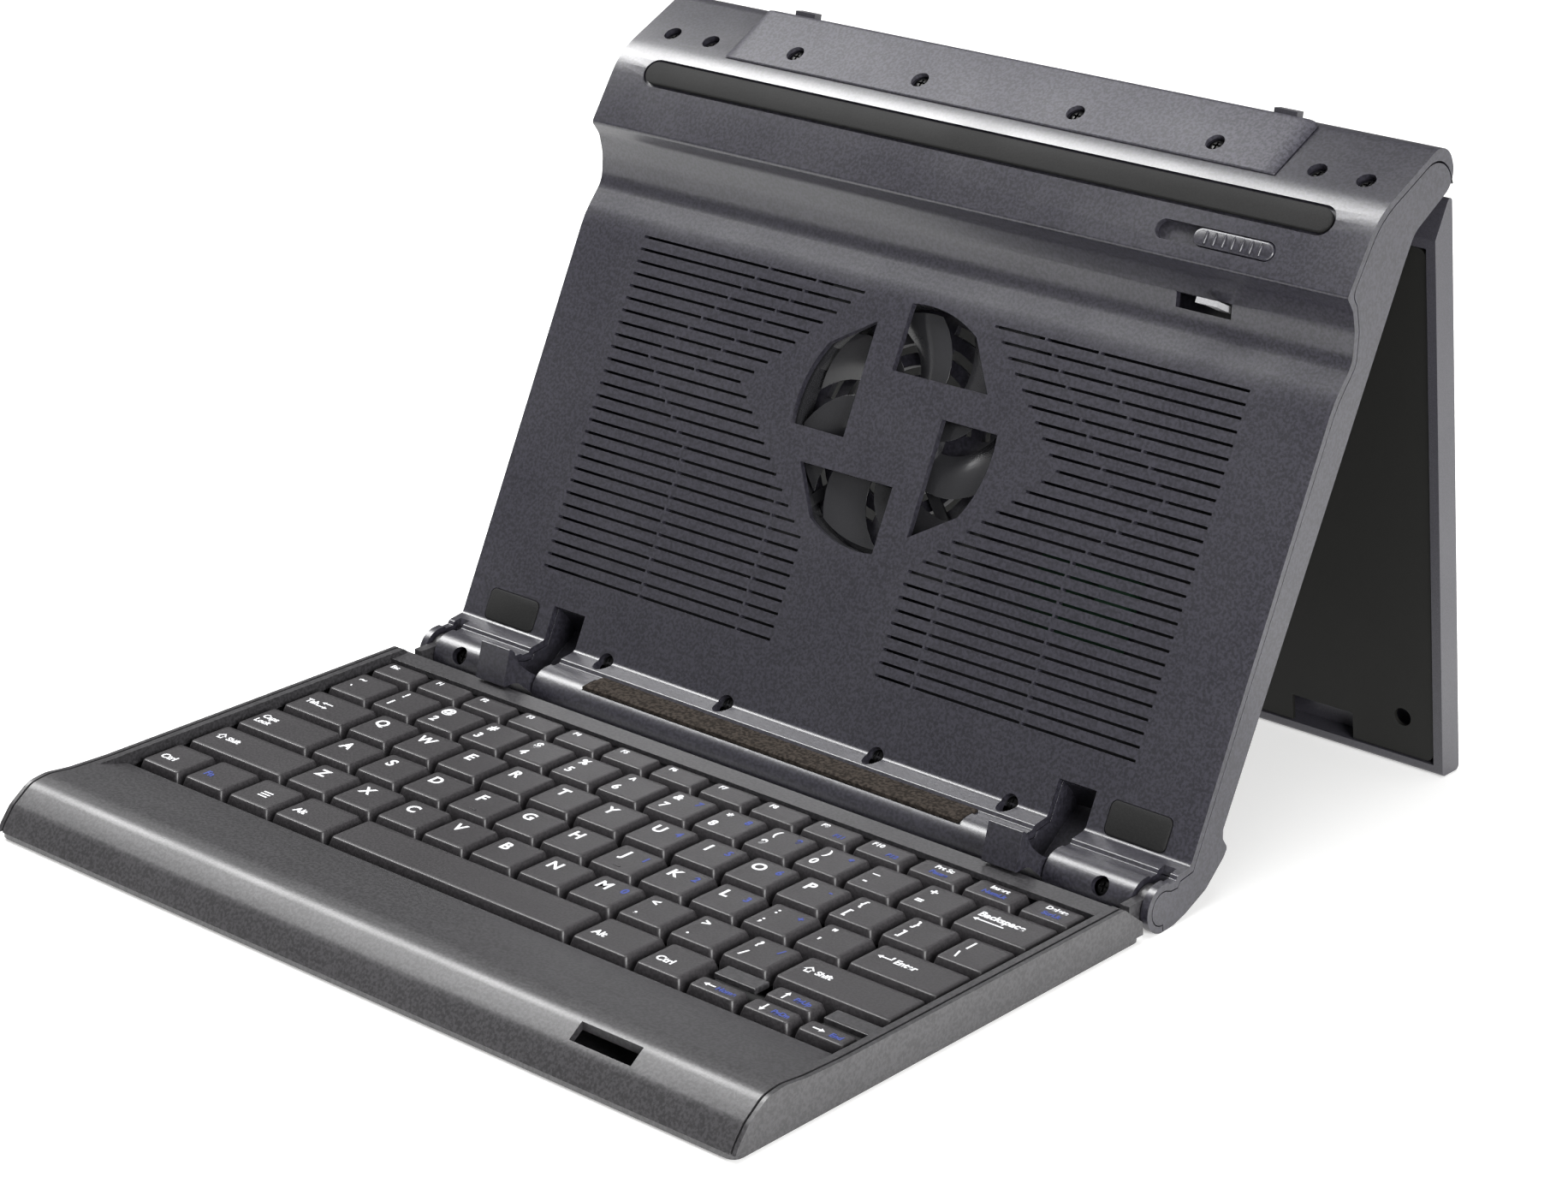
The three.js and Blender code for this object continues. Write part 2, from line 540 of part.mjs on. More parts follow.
const legFootStrip = () => sideways([
  [footAt(-3.5, 0), -3.5], [footAt(0.5, 0), 0.5], [-191.2, 0.5], [-191.2, -3.5]], -70, 70);

// ---------------------------------------------------------------- keyboard tray
// Tray frame: Y = 0 at the rear edge line, Z = 0 on the desk.
const DECK_Z = 11.8;                 // strip behind the keys
const SEAM_Z = 2.5;                  // lower edge of the top frame
const WELL_REAR = -17.6;
const WELL_FRONT = -124.4;
const WELL_HALF = 139.0;
const NOSE = [
  [-142.0, 13.9, 12], [-150.5, 15.0, 12], [-156.8, 14.2, 8], [-163.8, 9.3, 7], [-167.4, 4.8, 5],
  [TRAY_FRONT, SEAM_Z],
];
const DECK_LINE = [[-3.0, SEAM_Z], [-3.2, 8.0, 1.0], [-6.6, DECK_Z, 0.6], [WELL_FRONT, 11.0],
  [-135.6, 13.8, 6], ...NOSE];
const RIM_LINE = [[-3.0, SEAM_Z], [-3.4, 6.4, 1.0], [-5.8, 8.2, 1.0], [-11.8, 13.0, 1.5],
  [-128, 13.3, 20], ...NOSE];
const TRAY_HOLLOW = [
  [-5.0, 0], [-5.2, 7.2], [-7.6, DECK_Z - WALL], [WELL_FRONT, 9.0], [-135.8, 11.8], [-150.6, 12.9],
  [-156.0, 12.1], [-162.2, 8.0], [-165.6, 3.9], [-166.2, 0],
];

function hingeEars() {
  return bothSides((side) => {
    const [x0, x1] = between(side, HINGE_EAR_X - HINGE_EAR_HALF, HINGE_EAR_X + HINGE_EAR_HALF);
    return join(rod(HINGE_Y, HINGE_Z, HINGE_EAR_R, x0, x1), block(x0, x1, -6, HINGE_Y, 3.0, 11.0));
  });
}

function trayTopFrame() {
  const middle = sideways(rounded(DECK_LINE), -WELL_HALF - 0.5, WELL_HALF + 0.5);
  const rims = bothSides((side) => sideways(rounded(RIM_LINE), ...between(side, WELL_HALF, HALF_WIDTH)));
  const grooves = bothSides((side) => block(...between(side, 141.0, 141.9), -134, -14, 12.4, 20));
  const frame = cut(join(middle, ...rims), sideways(TRAY_HOLLOW, -HALF_WIDTH + WALL, HALF_WIDTH - WALL),
    block(-WELL_HALF, WELL_HALF, WELL_FRONT, WELL_REAR, 0, 30), ...grooves);
  return cut(join(frame, ...hingeEars()), block(80.5, 102.0, -162.2, -157.3, 7.5, 20),
    ...bothSides((side) => rod(HINGE_Y, HINGE_Z, HINGE_PIN_R + FIT, ...between(side, 130, 145))));
}

const COVER_Z = 0.8;
const trayBottomCover = () => upright(rectangle(-142.7, 142.7, TRAY_FRONT + 0.3, -3.2, 3), COVER_Z, 2.3);
const keyBackplate = () => upright(rectangle(-138.4, 138.4, WELL_FRONT + 0.5, WELL_REAR - 0.5, 1), 2.5, 3.3);
const keyMembrane = () => upright(rectangle(-137.6, 137.6, WELL_FRONT + 1.2, WELL_REAR - 1.2, 1), 3.6, 4.2);
const controllerBoard = () => join(block(-38, 38, -150, -131, 4.0, 5.2), block(-6, 6, -146, -134, 5.1, 6.6));
const trayFoot = (x, y) => upright(capsule(9, 3.2).map(([a, b]) => [a + x, b + y]), 0, COVER_Z);

// ---------------------------------------------------------------- keys
const KEY_TOP_Z = 11.6;
const KEY_BASE_Z = 6.6;
const KEY_SHOULDER_Z = 9.2;
const KEY_GAP = 4.3;                 // gap between two key tops
const KEY_SPREAD = 1.4;              // how far a key's foot stands out beyond its top, each side
const FIRST_X = -ROW_UNITS * KEY_PITCH_X / 2;
const TOP_DEPTH = 14.35;
const ROW_FRONT = { number: -46.1, q: -64.6, a: -83.2, z: -101.7, space: -120.2, function: -28.3 };

// One key cap: a tapered block with its narrow face up.
function keyCap(x0, x1, y0, y1) {
  const ring = (d, z) => [[x0 - d, y0 - d, z], [x1 + d, y0 - d, z], [x1 + d, y1 + d, z], [x0 - d, y1 + d, z]];
  const points = [
    ...ring(KEY_SPREAD, KEY_BASE_Z), ...ring(KEY_SPREAD, KEY_SHOULDER_Z), ...ring(0, KEY_TOP_Z)];
  const faces = [0, 2, 1, 0, 3, 2, 8, 9, 10, 8, 10, 11];
  for (const level of [0, 4]) {
    for (let i = 0; i < 4; i++) {
      const a = level + i;
      const b = level + (i + 1) % 4;
      faces.push(a, b, b + 4, a, b + 4, a + 4);
    }
  }
  const geometry = new THREE.BufferGeometry();
  geometry.setAttribute('position', new THREE.Float32BufferAttribute(points.flat(), 3));
  geometry.setIndex(faces);
  return solid(geometry);
}

// A key's x range from its first unit and its width in units.
const keySpan = (start, units, pitch = KEY_PITCH_X) => [
  FIRST_X + start * pitch + KEY_GAP / 2, FIRST_X + (start + units) * pitch - KEY_GAP / 2];
const plainKey = (row, start, units) =>
  keyCap(...keySpan(start, units), ROW_FRONT[row], ROW_FRONT[row] + TOP_DEPTH);

// A run of equal keys that share one carrier web under their caps.
function keyBank(row, start, count) {
  const caps = Array.from({ length: count }, (_, i) => plainKey(row, start + i, 1));
  const y = ROW_FRONT[row] + TOP_DEPTH / 2;
  const web = block(keySpan(start, 1)[0], keySpan(start + count - 1, 1)[1], y - 3, y + 3,
    KEY_BASE_Z, KEY_BASE_Z + 0.8);
  return join(web, ...caps);
}

function functionBank() {
  const count = 14;
  const pitch = ROW_UNITS * KEY_PITCH_X / count;
  const y0 = ROW_FRONT.function;
  const caps = Array.from({ length: count }, (_, i) =>
    keyCap(...keySpan(i, 1, pitch), y0 + 0.3, y0 + 8.6));
  const web = block(-130, 130, y0 + 2, y0 + 7, KEY_BASE_Z, KEY_BASE_Z + 0.8);
  return join(web, ...caps);
}

// Bottom row, as [name, first unit, width in units].
const BOTTOM_ROW = [
  ['key_ctrl_left', 0, 1], ['key_fn', 1, 1.02], ['key_menu', 2.02, 1.03], ['key_alt_left', 3.05, 1.25],
  ['key_space', 4.3, 5.0], ['key_alt_right', 9.3, 1.23], ['key_ctrl_right', 10.53, 1.0],
];
const ARROW_START = 11.53;
const ARROW_UNITS = 0.99;
const ARROW_DEPTH = 5.9;

function arrowKey(column, upper) {
  const [x0, x1] = keySpan(ARROW_START + column * ARROW_UNITS, ARROW_UNITS);
  const y0 = ROW_FRONT.space + (upper ? TOP_DEPTH - ARROW_DEPTH : 0);
  const front = upper ? y0 + 0.3 : y0;
  return keyCap(x0, x1, front, y0 + ARROW_DEPTH - (upper ? 0 : 0.3));
}

function keyMeshes() {
  const keys = [
    ['key_bank_function_row', functionBank()],
    ['key_bank_number_row', keyBank('number', 0, 13)],
    ['key_backspace', plainKey('number', 13, 1.5)],
    ['key_tab', plainKey('q', 0, 1.5)],
    ['key_bank_upper_letters', keyBank('q', 1.5, 13)],
    ['key_caps_lock', plainKey('a', 0, 1.75)],
    ['key_bank_middle_letters', keyBank('a', 1.75, 11)],
    ['key_enter', plainKey('a', 12.75, 1.75)],
    ['key_shift_left', plainKey('z', 0, 2.25)],
    ['key_bank_lower_letters', keyBank('z', 2.25, 10)],
    ['key_shift_right', plainKey('z', 12.25, 2.25)],
    ...BOTTOM_ROW.map(([name, start, units]) => [name, plainKey('space', start, units)]),
    ['key_arrow_left', arrowKey(0, false)],
    ['key_arrow_down', arrowKey(1, false)],
    ['key_arrow_up', arrowKey(1, true)],
    ['key_arrow_right', arrowKey(2, false)],
  ];
  return keys.map(([name, body]) => named(name, body, keyGrey()));
}

// ---------------------------------------------------------------- assembly
function panelGroup() {
  const group = new THREE.Group();
  group.add(
    named('panel_front_shell', panelFrontShell(), shellGrey()),
    named('panel_rear_shell', panelRearShell(), shellGrey()),
    named('hinge_cover', hingeCover(), shellGrey()),
    named('rubber_strip_top', topStrip(), rubberBlack()),
    named('rubber_pad_left', cornerPad(-1), rubberBlack()),
    named('rubber_pad_right', cornerPad(1), rubberBlack()),
    named('foam_strip', foamStrip(), foamBrown()),
    named('fan_frame', fanFrame(), fanBlack()),
    named('fan_rotor', fanRotor(), fanBlack()),
    named('fan_axle', fanAxle(), steel()),
    named('latch_button', latchButton(), shellGrey()),
    named('latch_hook', latchHook(), material(0xb9b9bb, 0.4)),
    named('support_arm_left', supportArm(-1), shellGrey()),
    named('support_arm_right', supportArm(1), shellGrey()),
    named('arm_pin_left', armPin(-1), steel()),
    named('arm_pin_right', armPin(1), steel()),
    named('hinge_pin_left', hingePin(-1), steel()),
    named('hinge_pin_right', hingePin(1), steel()),
    named('leg_pin_left', legPin(-1), steel()),
    named('leg_pin_right', legPin(1), steel()),
    named('fan_board', fanBoard(), boardGreen()),
    ...COVER_SCREW_X.map((x, i) => named(`cover_screw_${i + 1}`, coverScrew(x), steel())),
  );
  group.position.set(0, HINGE_Y, HINGE_Z);
  group.rotation.x = rad(PANEL_TILT);
  return group;
}

function legGroup() {
  const group = new THREE.Group();
  group.add(
    named('leg_outer_shell', legOuterShell(), legGrey()),
    named('leg_inner_cover', legInnerCover(), legGrey()),
    named('leg_foot_strip', legFootStrip(), rubberBlack()),
  );
  group.position.set(0, PIVOT_Y, PIVOT_Z);
  group.rotation.x = rad(LEG_LEAN);
  return group;
}

function trayGroup() {
  const group = new THREE.Group();
  const feet = [[-120, -158], [120, -158], [-120, -16], [120, -16]];
  const names = ['front_left', 'front_right', 'rear_left', 'rear_right'];
  group.add(
    named('tray_top_frame', trayTopFrame(), deckGrey()),
    named('tray_bottom_cover', trayBottomCover(), shellGrey()),
    named('key_backplate', keyBackplate(), steel()),
    named('key_membrane', keyMembrane(), rubberBlack()),
    named('controller_board', controllerBoard(), boardGreen()),
    ...feet.map(([x, y], i) => named(`tray_foot_${names[i]}`, trayFoot(x, y), rubberBlack())),
    ...keyMeshes(),
  );
  return group;
}

const stand = new THREE.Group();
const parts = new THREE.Group();
parts.add(panelGroup(), legGroup(), trayGroup());
parts.position.y = -FOOT_CENTRE_Y;
stand.add(parts);

export default stand;
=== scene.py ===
"""Looks of the folding notebook stand. Outlines are in millimetres; meshes are made in metres in the row frame."""
import json
import math
import random

import bmesh
import bpy
from mathutils import Matrix, Vector


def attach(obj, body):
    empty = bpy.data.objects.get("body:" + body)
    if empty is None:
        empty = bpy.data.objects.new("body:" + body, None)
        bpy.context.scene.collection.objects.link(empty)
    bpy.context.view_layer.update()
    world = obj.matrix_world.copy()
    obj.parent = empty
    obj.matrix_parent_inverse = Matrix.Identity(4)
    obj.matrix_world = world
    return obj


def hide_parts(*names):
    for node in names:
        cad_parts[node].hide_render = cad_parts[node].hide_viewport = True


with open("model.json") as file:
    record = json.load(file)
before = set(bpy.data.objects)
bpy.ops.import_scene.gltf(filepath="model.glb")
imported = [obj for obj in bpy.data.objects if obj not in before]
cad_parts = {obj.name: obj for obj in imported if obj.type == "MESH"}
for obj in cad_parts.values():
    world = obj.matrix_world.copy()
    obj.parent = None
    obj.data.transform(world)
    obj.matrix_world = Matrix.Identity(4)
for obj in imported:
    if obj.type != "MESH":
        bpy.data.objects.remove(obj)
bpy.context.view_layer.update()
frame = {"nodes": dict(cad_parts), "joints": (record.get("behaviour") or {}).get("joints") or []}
NODES = frame["nodes"]
JOINTS = {j["name"]: j for j in frame["joints"]}
MM = 0.001


# ------------------------------------------------------------------ frames
def joint_frame(joint, degrees):
    place = Vector(JOINTS[joint]["pos_m"]) / MM
    return Matrix.Translation(place) @ Matrix.Rotation(math.radians(degrees), 4, "X")


PANEL_TILT = 64
LEG_TILT = 97.74
HINGE = Vector(JOINTS["keyboard_fold"]["pos_m"]) / MM
HINGE_IN_TRAY = (5.8, 7.2)
PANEL = joint_frame("keyboard_fold", PANEL_TILT)
LEG = joint_frame("leg_fold", LEG_TILT)
TRAY = Matrix.Translation((0, HINGE.y - HINGE_IN_TRAY[0], 0))
HALF = 143.2
WALL = 2.0


# ------------------------------------------------------------------ outlines
def polar(r, degrees, centre=(0, 0)):
    a = math.radians(degrees)
    return (centre[0] + r * math.cos(a), centre[1] + r * math.sin(a))


def arc(r, start, end, count, centre=(0, 0)):
    return [polar(r, start + (end - start) * i / count, centre) for i in range(count + 1)]


def rounded(corners, open_line=False, step=9):
    """Corners are (a, b) or (a, b, radius); an open line keeps its two ends."""
    out = []
    n = len(corners)
    for i, corner in enumerate(corners):
        r = corner[2] if len(corner) > 2 else 0
        p = Vector(corner[:2])
        if not r or (open_line and i in (0, n - 1)):
            out.append(tuple(p))
            continue
        before = (Vector(corners[i - 1][:2]) - p).normalized()
        after = (Vector(corners[(i + 1) % n][:2]) - p).normalized()
        half = math.acos(max(-1, min(1, before.dot(after)))) / 2
        centre = p + (before + after).normalized() * r / math.sin(half)
        first = p + before * r / math.tan(half) - centre
        last = p + after * r / math.tan(half) - centre
        start = math.atan2(first.y, first.x)
        sweep = math.atan2(last.y, last.x) - start
        sweep = math.atan2(math.sin(sweep), math.cos(sweep))
        count = max(1, math.ceil(abs(math.degrees(sweep)) / step - 0.01))
        for k in range(count + 1):
            a = start + sweep * k / count
            out.append((centre.x + r * math.cos(a), centre.y + r * math.sin(a)))
    return out


def offset(corners, d):
    """An open line moved d to its left."""
    def left(a, b):
        return Vector((a[1] - b[1], b[0] - a[0])).normalized()

    out = []
    for i, corner in enumerate(corners):
        into = left(corners[i - 1], corner) if i else None
        away = left(corner, corners[i + 1]) if i < len(corners) - 1 else None
        n1 = into or away
        n2 = away or into
        mitre = (n1 + n2) / (1 + n1.dot(n2))
        turn = n1.x * n2.y - n1.y * n2.x
        r = corner[2] if len(corner) > 2 else 0
        if r:
            r = max(0.2, r - math.copysign(d, turn))
        out.append((corner[0] + mitre.x * d, corner[1] + mitre.y * d, r))
    return out


def rectangle(x0, x1, y0, y1, r=0):
    return rounded([(x0, y0, r), (x1, y0, r), (x1, y1, r), (x0, y1, r)])


def capsule(length, width):
    return rectangle(-length, length, -width, width, width - 0.01)


def both(low, high):
    return [(-high, -low), (low, high)]


# ------------------------------------------------------------------ solids
def prism(outline, x0, x1):
    """An (a, b) outline drawn out along the first axis."""
    n = len(outline)
    verts = [(x, a, b) for x in (x0, x1) for a, b in outline]
    faces = [tuple(range(n)), tuple(range(2 * n - 1, n - 1, -1))]
    faces += [(i, (i + 1) % n, n + (i + 1) % n, n + i) for i in range(n)]
    return verts, faces


def plate(outline, z0, z1, matrix=None):
    n = len(outline)
    verts = [Vector((x, y, z)) for z in (z0, z1) for x, y in outline]
    if matrix:
        verts = [matrix @ v for v in verts]
    faces = [tuple(range(n)), tuple(range(2 * n - 1, n - 1, -1))]
    faces += [(i, (i + 1) % n, n + (i + 1) % n, n + i) for i in range(n)]
    return [tuple(v) for v in verts], faces


def box(x0, x1, y0, y1, z0, z1):
    return plate([(x0, y0), (x1, y0), (x1, y1), (x0, y1)], z0, z1)


def rod(y, z, r, x0, x1, sides=40):
    return prism(arc(r, 0, 360 - 360 / sides, sides - 1, (y, z)), x0, x1)


def disc(x, s, n, r, degrees, depth=4.5, sides=32):
    """A round tool centred on (x, s, n), its axis turned about X."""
    turn = Matrix.Translation((x, s, n)) @ Matrix.Rotation(math.radians(degrees), 4, "X")
    return plate(arc(r, 0, 360 - 360 / sides, sides - 1), -depth, depth, turn)


def mesh_from(solids, matrix, name):
    mesh = bpy.data.meshes.new(name)
    verts = []
    faces = []
    for v, f in solids:
        faces += [tuple(i + len(verts) for i in face) for face in f]
        verts += [matrix @ Vector(p) * MM for p in v]
    mesh.from_pydata(verts, [], faces)
    bm = bmesh.new()
    bm.from_mesh(mesh)
    bmesh.ops.recalc_face_normals(bm, faces=bm.faces)
    bm.to_mesh(mesh)
    bm.free()
    return mesh


def link(name, mesh):
    obj = bpy.data.objects.new(name, mesh)
    bpy.context.scene.collection.objects.link(obj)
    return obj


def carve(name, matrix, base, steps):
    """base is a list of solids; each step is (operation, list of solids), worked out in turn."""
    obj = link(name, mesh_from(base, matrix, name))
    tools = []
    for operation, solids in steps:
        tool = link("tool", mesh_from(solids, matrix, "tool"))
        tools.append(tool)
        modifier = obj.modifiers.new("cut", "BOOLEAN")
        modifier.operation = operation
        modifier.solver = "MANIFOLD"
        modifier.object = tool
    done = bpy.data.meshes.new_from_object(obj.evaluated_get(bpy.context.evaluated_depsgraph_get()))
    obj.modifiers.clear()
    obj.data = done
    done.name = name
    for tool in tools:
        bpy.data.objects.remove(tool)
    bm = bmesh.new()
    bm.from_mesh(done)
    bmesh.ops.remove_doubles(bm, verts=bm.verts, dist=2e-6)
    bmesh.ops.dissolve_limit(bm, angle_limit=math.radians(0.5), verts=bm.verts, edges=bm.edges)
    bm.to_mesh(done)
    bm.free()
    return obj


def soften(obj, width=0.25, segments=2, angle=32):
    """Rounds the sharp edges and shades the curved faces smooth."""
    for polygon in obj.data.polygons:
        polygon.use_smooth = True
    obj.data.set_sharp_from_angle(angle=math.radians(angle))
    bevel = obj.modifiers.new("edges", "BEVEL")
    bevel.width = width * MM
    bevel.segments = segments
    bevel.limit_method = "ANGLE"
    bevel.angle_limit = math.radians(angle)
    bevel.use_clamp_overlap = True
    bevel.harden_normals = True
    bevel.miter_outer = "MITER_ARC"
    return obj


def finish(obj, material, body, replaces=(), slot=None, **soft):
    """Softens the edges unless edges=False, then gives the piece its material, body and replaced nodes."""
    if soft.pop("edges", True):
        soften(obj, **soft)
    obj.data.materials.clear()
    obj.data.materials.append(material)
    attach(obj, body)
    if replaces:
        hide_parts(*replaces)
    return obj


# ------------------------------------------------------------------ materials
def srgb(r, g, b):
    def linear(v):
        v /= 255
        return v / 12.92 if v <= 0.04045 else ((v + 0.055) / 1.055) ** 2.4
    return (linear(r), linear(g), linear(b), 1.0)


def surface(name, colour, rough, grain=2600, depth=0.02, mottle=0.08, metallic=0.0, specular=0.5):
    """Moulded or worked surface: fine grain as bump and as a change of tone, and a slow change of gloss."""
    material = bpy.data.materials.new(name)
    material.use_nodes = True
    tree = material.node_tree
    shader = tree.nodes["Principled BSDF"]
    place = tree.nodes.new("ShaderNodeTexCoord")

    def noise(scale, detail):
        node = tree.nodes.new("ShaderNodeTexNoise")
        node.inputs["Scale"].default_value = scale
        node.inputs["Detail"].default_value = detail
        tree.links.new(place.outputs["Object"], node.inputs["Vector"])
        return node

    def spread(node, low, high, width):
        mapped = tree.nodes.new("ShaderNodeMapRange")
        mapped.interpolation_type = "SMOOTHSTEP"
        mapped.inputs["From Min"].default_value = 0.5 - width
        mapped.inputs["From Max"].default_value = 0.5 + width
        mapped.inputs["To Min"].default_value = low
        mapped.inputs["To Max"].default_value = high
        tree.links.new(node.outputs["Fac"], mapped.inputs["Value"])
        return mapped

    slow = noise(28, 3)
    fine = noise(grain, 2)
    mix = tree.nodes.new("ShaderNodeMix")
    mix.data_type = "RGBA"
    dark = tuple(c * (1 - mottle) for c in colour[:3]) + (1,)
    light = tuple(min(1, c * (1 + mottle)) for c in colour[:3]) + (1,)
    mix.inputs["A"].default_value = dark
    mix.inputs["B"].default_value = light
    blend = spread(fine, 0, 1, 0.14)
    tree.links.new(blend.outputs["Result"], mix.inputs["Factor"])
    tree.links.new(mix.outputs["Result"], shader.inputs["Base Color"])
    tree.links.new(spread(slow, rough - 0.04, rough + 0.05, 0.35).outputs["Result"], shader.inputs["Roughness"])
    shader.inputs["Metallic"].default_value = metallic
    shader.inputs["Specular IOR Level"].default_value = specular
    bump = tree.nodes.new("ShaderNodeBump")
    bump.inputs["Strength"].default_value = 0.6
    bump.inputs["Distance"].default_value = depth * MM
    tree.links.new(fine.outputs["Fac"], bump.inputs["Height"])
    tree.links.new(bump.outputs["Normal"], shader.inputs["Normal"])
    return material


SHELL = surface("shell_plastic", srgb(42, 41, 48), 0.32, grain=1100, depth=0.03, mottle=0.34, specular=0.75)
COVER = surface("cover_plastic", srgb(60, 59, 66), 0.50, grain=1100, depth=0.03, mottle=0.3, specular=0.35)
DECK = surface("deck_plastic", srgb(50, 49, 51), 0.40, grain=1100, depth=0.03, mottle=0.34, specular=0.65)
LEG_SHELL = surface("leg_plastic", srgb(54, 53, 59), 0.36, mottle=0.2, specular=0.7)
LEG_COVER = surface("leg_cover_plastic", srgb(19, 19, 17), 0.6, mottle=0.1, specular=0.3)
KEYCAP = surface("keycap_plastic", srgb(47, 45, 47), 0.42, grain=1400, depth=0.02, mottle=0.26, specular=0.6)
RUBBER = surface("rubber", srgb(24, 24, 24), 0.75, grain=1800, depth=0.05, mottle=0.15, specular=0.3)
FOAM = surface("foam", srgb(50, 45, 41), 0.95, grain=900, depth=0.25, mottle=0.45, specular=0.1)
FAN = surface("fan_plastic", srgb(40, 40, 42), 0.2, depth=0.004, mottle=0.05)
STEEL = surface("steel", srgb(150, 150, 152), 0.32, grain=1500, depth=0.005, metallic=1.0)
SCREW = surface("screw_black", srgb(20, 20, 20), 0.4, metallic=0.6)
BOARD = surface("circuit_board", srgb(30, 66, 44), 0.4)
HOOK = surface("hook_plastic", srgb(150, 150, 152), 0.4)
WELL_RUBBER = surface("well_rubber", srgb(18, 18, 19), 0.6)
LEGEND = surface("legend_white", srgb(225, 226, 228), 0.5, depth=0.002, mottle=0.03)
LEGEND_BLUE = surface("legend_blue", srgb(60, 74, 142), 0.5, depth=0.002, mottle=0.03)


# ------------------------------------------------------------------ cooling panel
FIELD_N = -7.2
BARREL_R = 7.2
BARREL_START = -154
UPPER_LINE = [
    (13.0, FIELD_N, 2.0), (146.0, FIELD_N, 30.0), (158.0, -10.3, 9.0), (166.0, -7.0, 12.0),
    (171.4, -2.7, 6.0), (173.9, 2.0, 1.3), (198.2, -0.95, 24.0), (226.4, -23.2, 6.8), (217.5, -34.5),
]
SHELF = [(7.3, 1.6, 0.6), (6.9, 0.6, 0.5), (8.3, -2.0, 0.5), (9.7, -2.2, 0.8)]
SHELF_BACK = [(5.3, -1.2), (6.6, -4.0), (8.5, -4.2), (11.9, FIELD_N - WALL)]
BACK_LINE = [
    (217.5, -34.5, 6.8), (198.6, -21.5, 8.0), (190.0, -21.0, 4.0), (30.0, -18.0, 4.0), (25.0, -17.9, 1.5),
    (22.4, -19.2, 1.5), (20.4, -22.8, 1.5), (17.4, -22.4, 3.0), (7.7, -18.4, 4.0), (-0.1, -11.85, 3.0),
    (-3.9, -7.7, 3.0),
]
LEG_PIVOT = (216.8, -24.7)
ARM_PIVOT = (-2.6, -3.0)
ARM_X = 100.0
KNUCKLE_X = 91.0
FAN_S = 106.6


def skin_line(d):
    """A side line of the panel that runs d below its front surface."""
    extra = d - WALL
    start = BARREL_START + math.degrees(extra / 5)
    inner = arc(BARREL_R - d, start, -346, 24)
    shelf = [(s - 0.8 * extra, n - extra) for s, n in SHELF_BACK]
    return inner + rounded(shelf + offset(UPPER_LINE, -d)[1:], True)


def outline_halves(d_front, d_rear):
    """The panel's side outline split into its front skin and its rear tub."""
    full = rounded(arc(BARREL_R, BARREL_START, -334, 36) + SHELF + UPPER_LINE[:-1] + BACK_LINE)
    inner = skin_line(d_front)
    behind = skin_line(d_rear)
    tip = max(range(len(full)), key=lambda i: full[i][0])

    def crossing(limit):
        k = next(i for i in range(tip, len(full)) if full[i][0] < limit)
        (a, b), (c, d) = full[k - 1], full[k]
        t = (limit - a) / (c - a)
        return k, (limit, b + (d - b) * t)

    k, cut = crossing(inner[-1][0])
    front = full[:k] + [cut] + inner[::-1]
    k, cut = crossing(behind[-1][0])
    rear = [cut] + full[k:] + [polar(BARREL_R, BARREL_START + 2.4)] + behind
    return front, rear


def arm_pockets():
    pocket = [(-9, 2), (-9, 30), (24.3, 30), (24.3, FIELD_N)] + arc(27.2, -12, -37, 8, ARM_PIVOT) + [
        (18.4, -20.5), (16.4, -19.9), (11.3, -16.2), (1.4, -10.9), (-3.3, -5.9), (-5.5, -4.2), (-5.5, -2.4),
        (-5.2, -0.5), (-6.6, 1.4)]
    return [prism(pocket, *span) for span in both(ARM_X - 6.7, ARM_X + 6.7)]


def ear_slots():
    spans = both(136.8, 140.8)
    return [box(*span, -9, 13, -4.5, 12) for span in spans], [rod(0, 0, 5.8, *span) for span in spans]


def knuckle_slots():
    outline = [(195, -21.3), (211.5, -20.7), (216.2, -22.7), (227.7, -19.3), (236, -19.3), (236, -50), (195, -50)]
    spans = both(KNUCKLE_X - 4.6, KNUCKLE_X + 4.6)
    return [prism(outline, *span) for span in spans], [rod(*LEG_PIVOT, 4.8, *span) for span in spans]


def fan_windows():
    left = -6.5
    start = math.degrees(math.atan2(30.8, 19.0))
    end = math.degrees(math.acos(left / 38.0))
    outline = [(left, 16.7), (29.8, 17.0)] + arc(38.0, start, end, 14)
    centre = Matrix.Translation((0, FAN_S, 0))
    return [plate(outline, -14, -4, centre @ Matrix.Rotation(math.radians(-turn), 4, "Z"))
            for turn in (0, 90, 180, 270)]


def vent_slots():
    """28 rows of slots; short bridges keep the long fingers between them stiff."""
    tools = []
    bridge = 0.7
    for row in range(28):
        s = 143.6 - 4.0 * row
        inner = max(20.6, 61.0 - 4.0 * abs(row - 9))
        stops = [inner + 38.5] if row < 16 else [34.5, 75.0]
        if row < 10:
            stops.append(inner + 19)
        edges = [inner] + sorted(b for b in stops if inner + 5 < b < 111) + [116.0]
        for a, b in zip(edges, edges[1:]):
            low = a + (bridge / 2 if a > inner else 0)
            high = b - (bridge / 2 if b < 116.0 else 0)
            tools += [plate(rectangle(*span, s - 0.42, s + 0.42, 0.25), -10, -5) for span in both(low, high)]
    return tools


TOP_FACE_ANGLE = -38.3
STRIP_PLACE = (193.8, -0.7)
STRIP_ANGLE = -14.0
LATCH_PLACE = (181.6, 1.05)
LATCH_ANGLE = -6.9
LATCH_X = 101.85
LATCH_HALF = (13.65, 2.7)


def placed(x, place, degrees):
    return Matrix.Translation((x, *place)) @ Matrix.Rotation(math.radians(degrees), 4, "X")


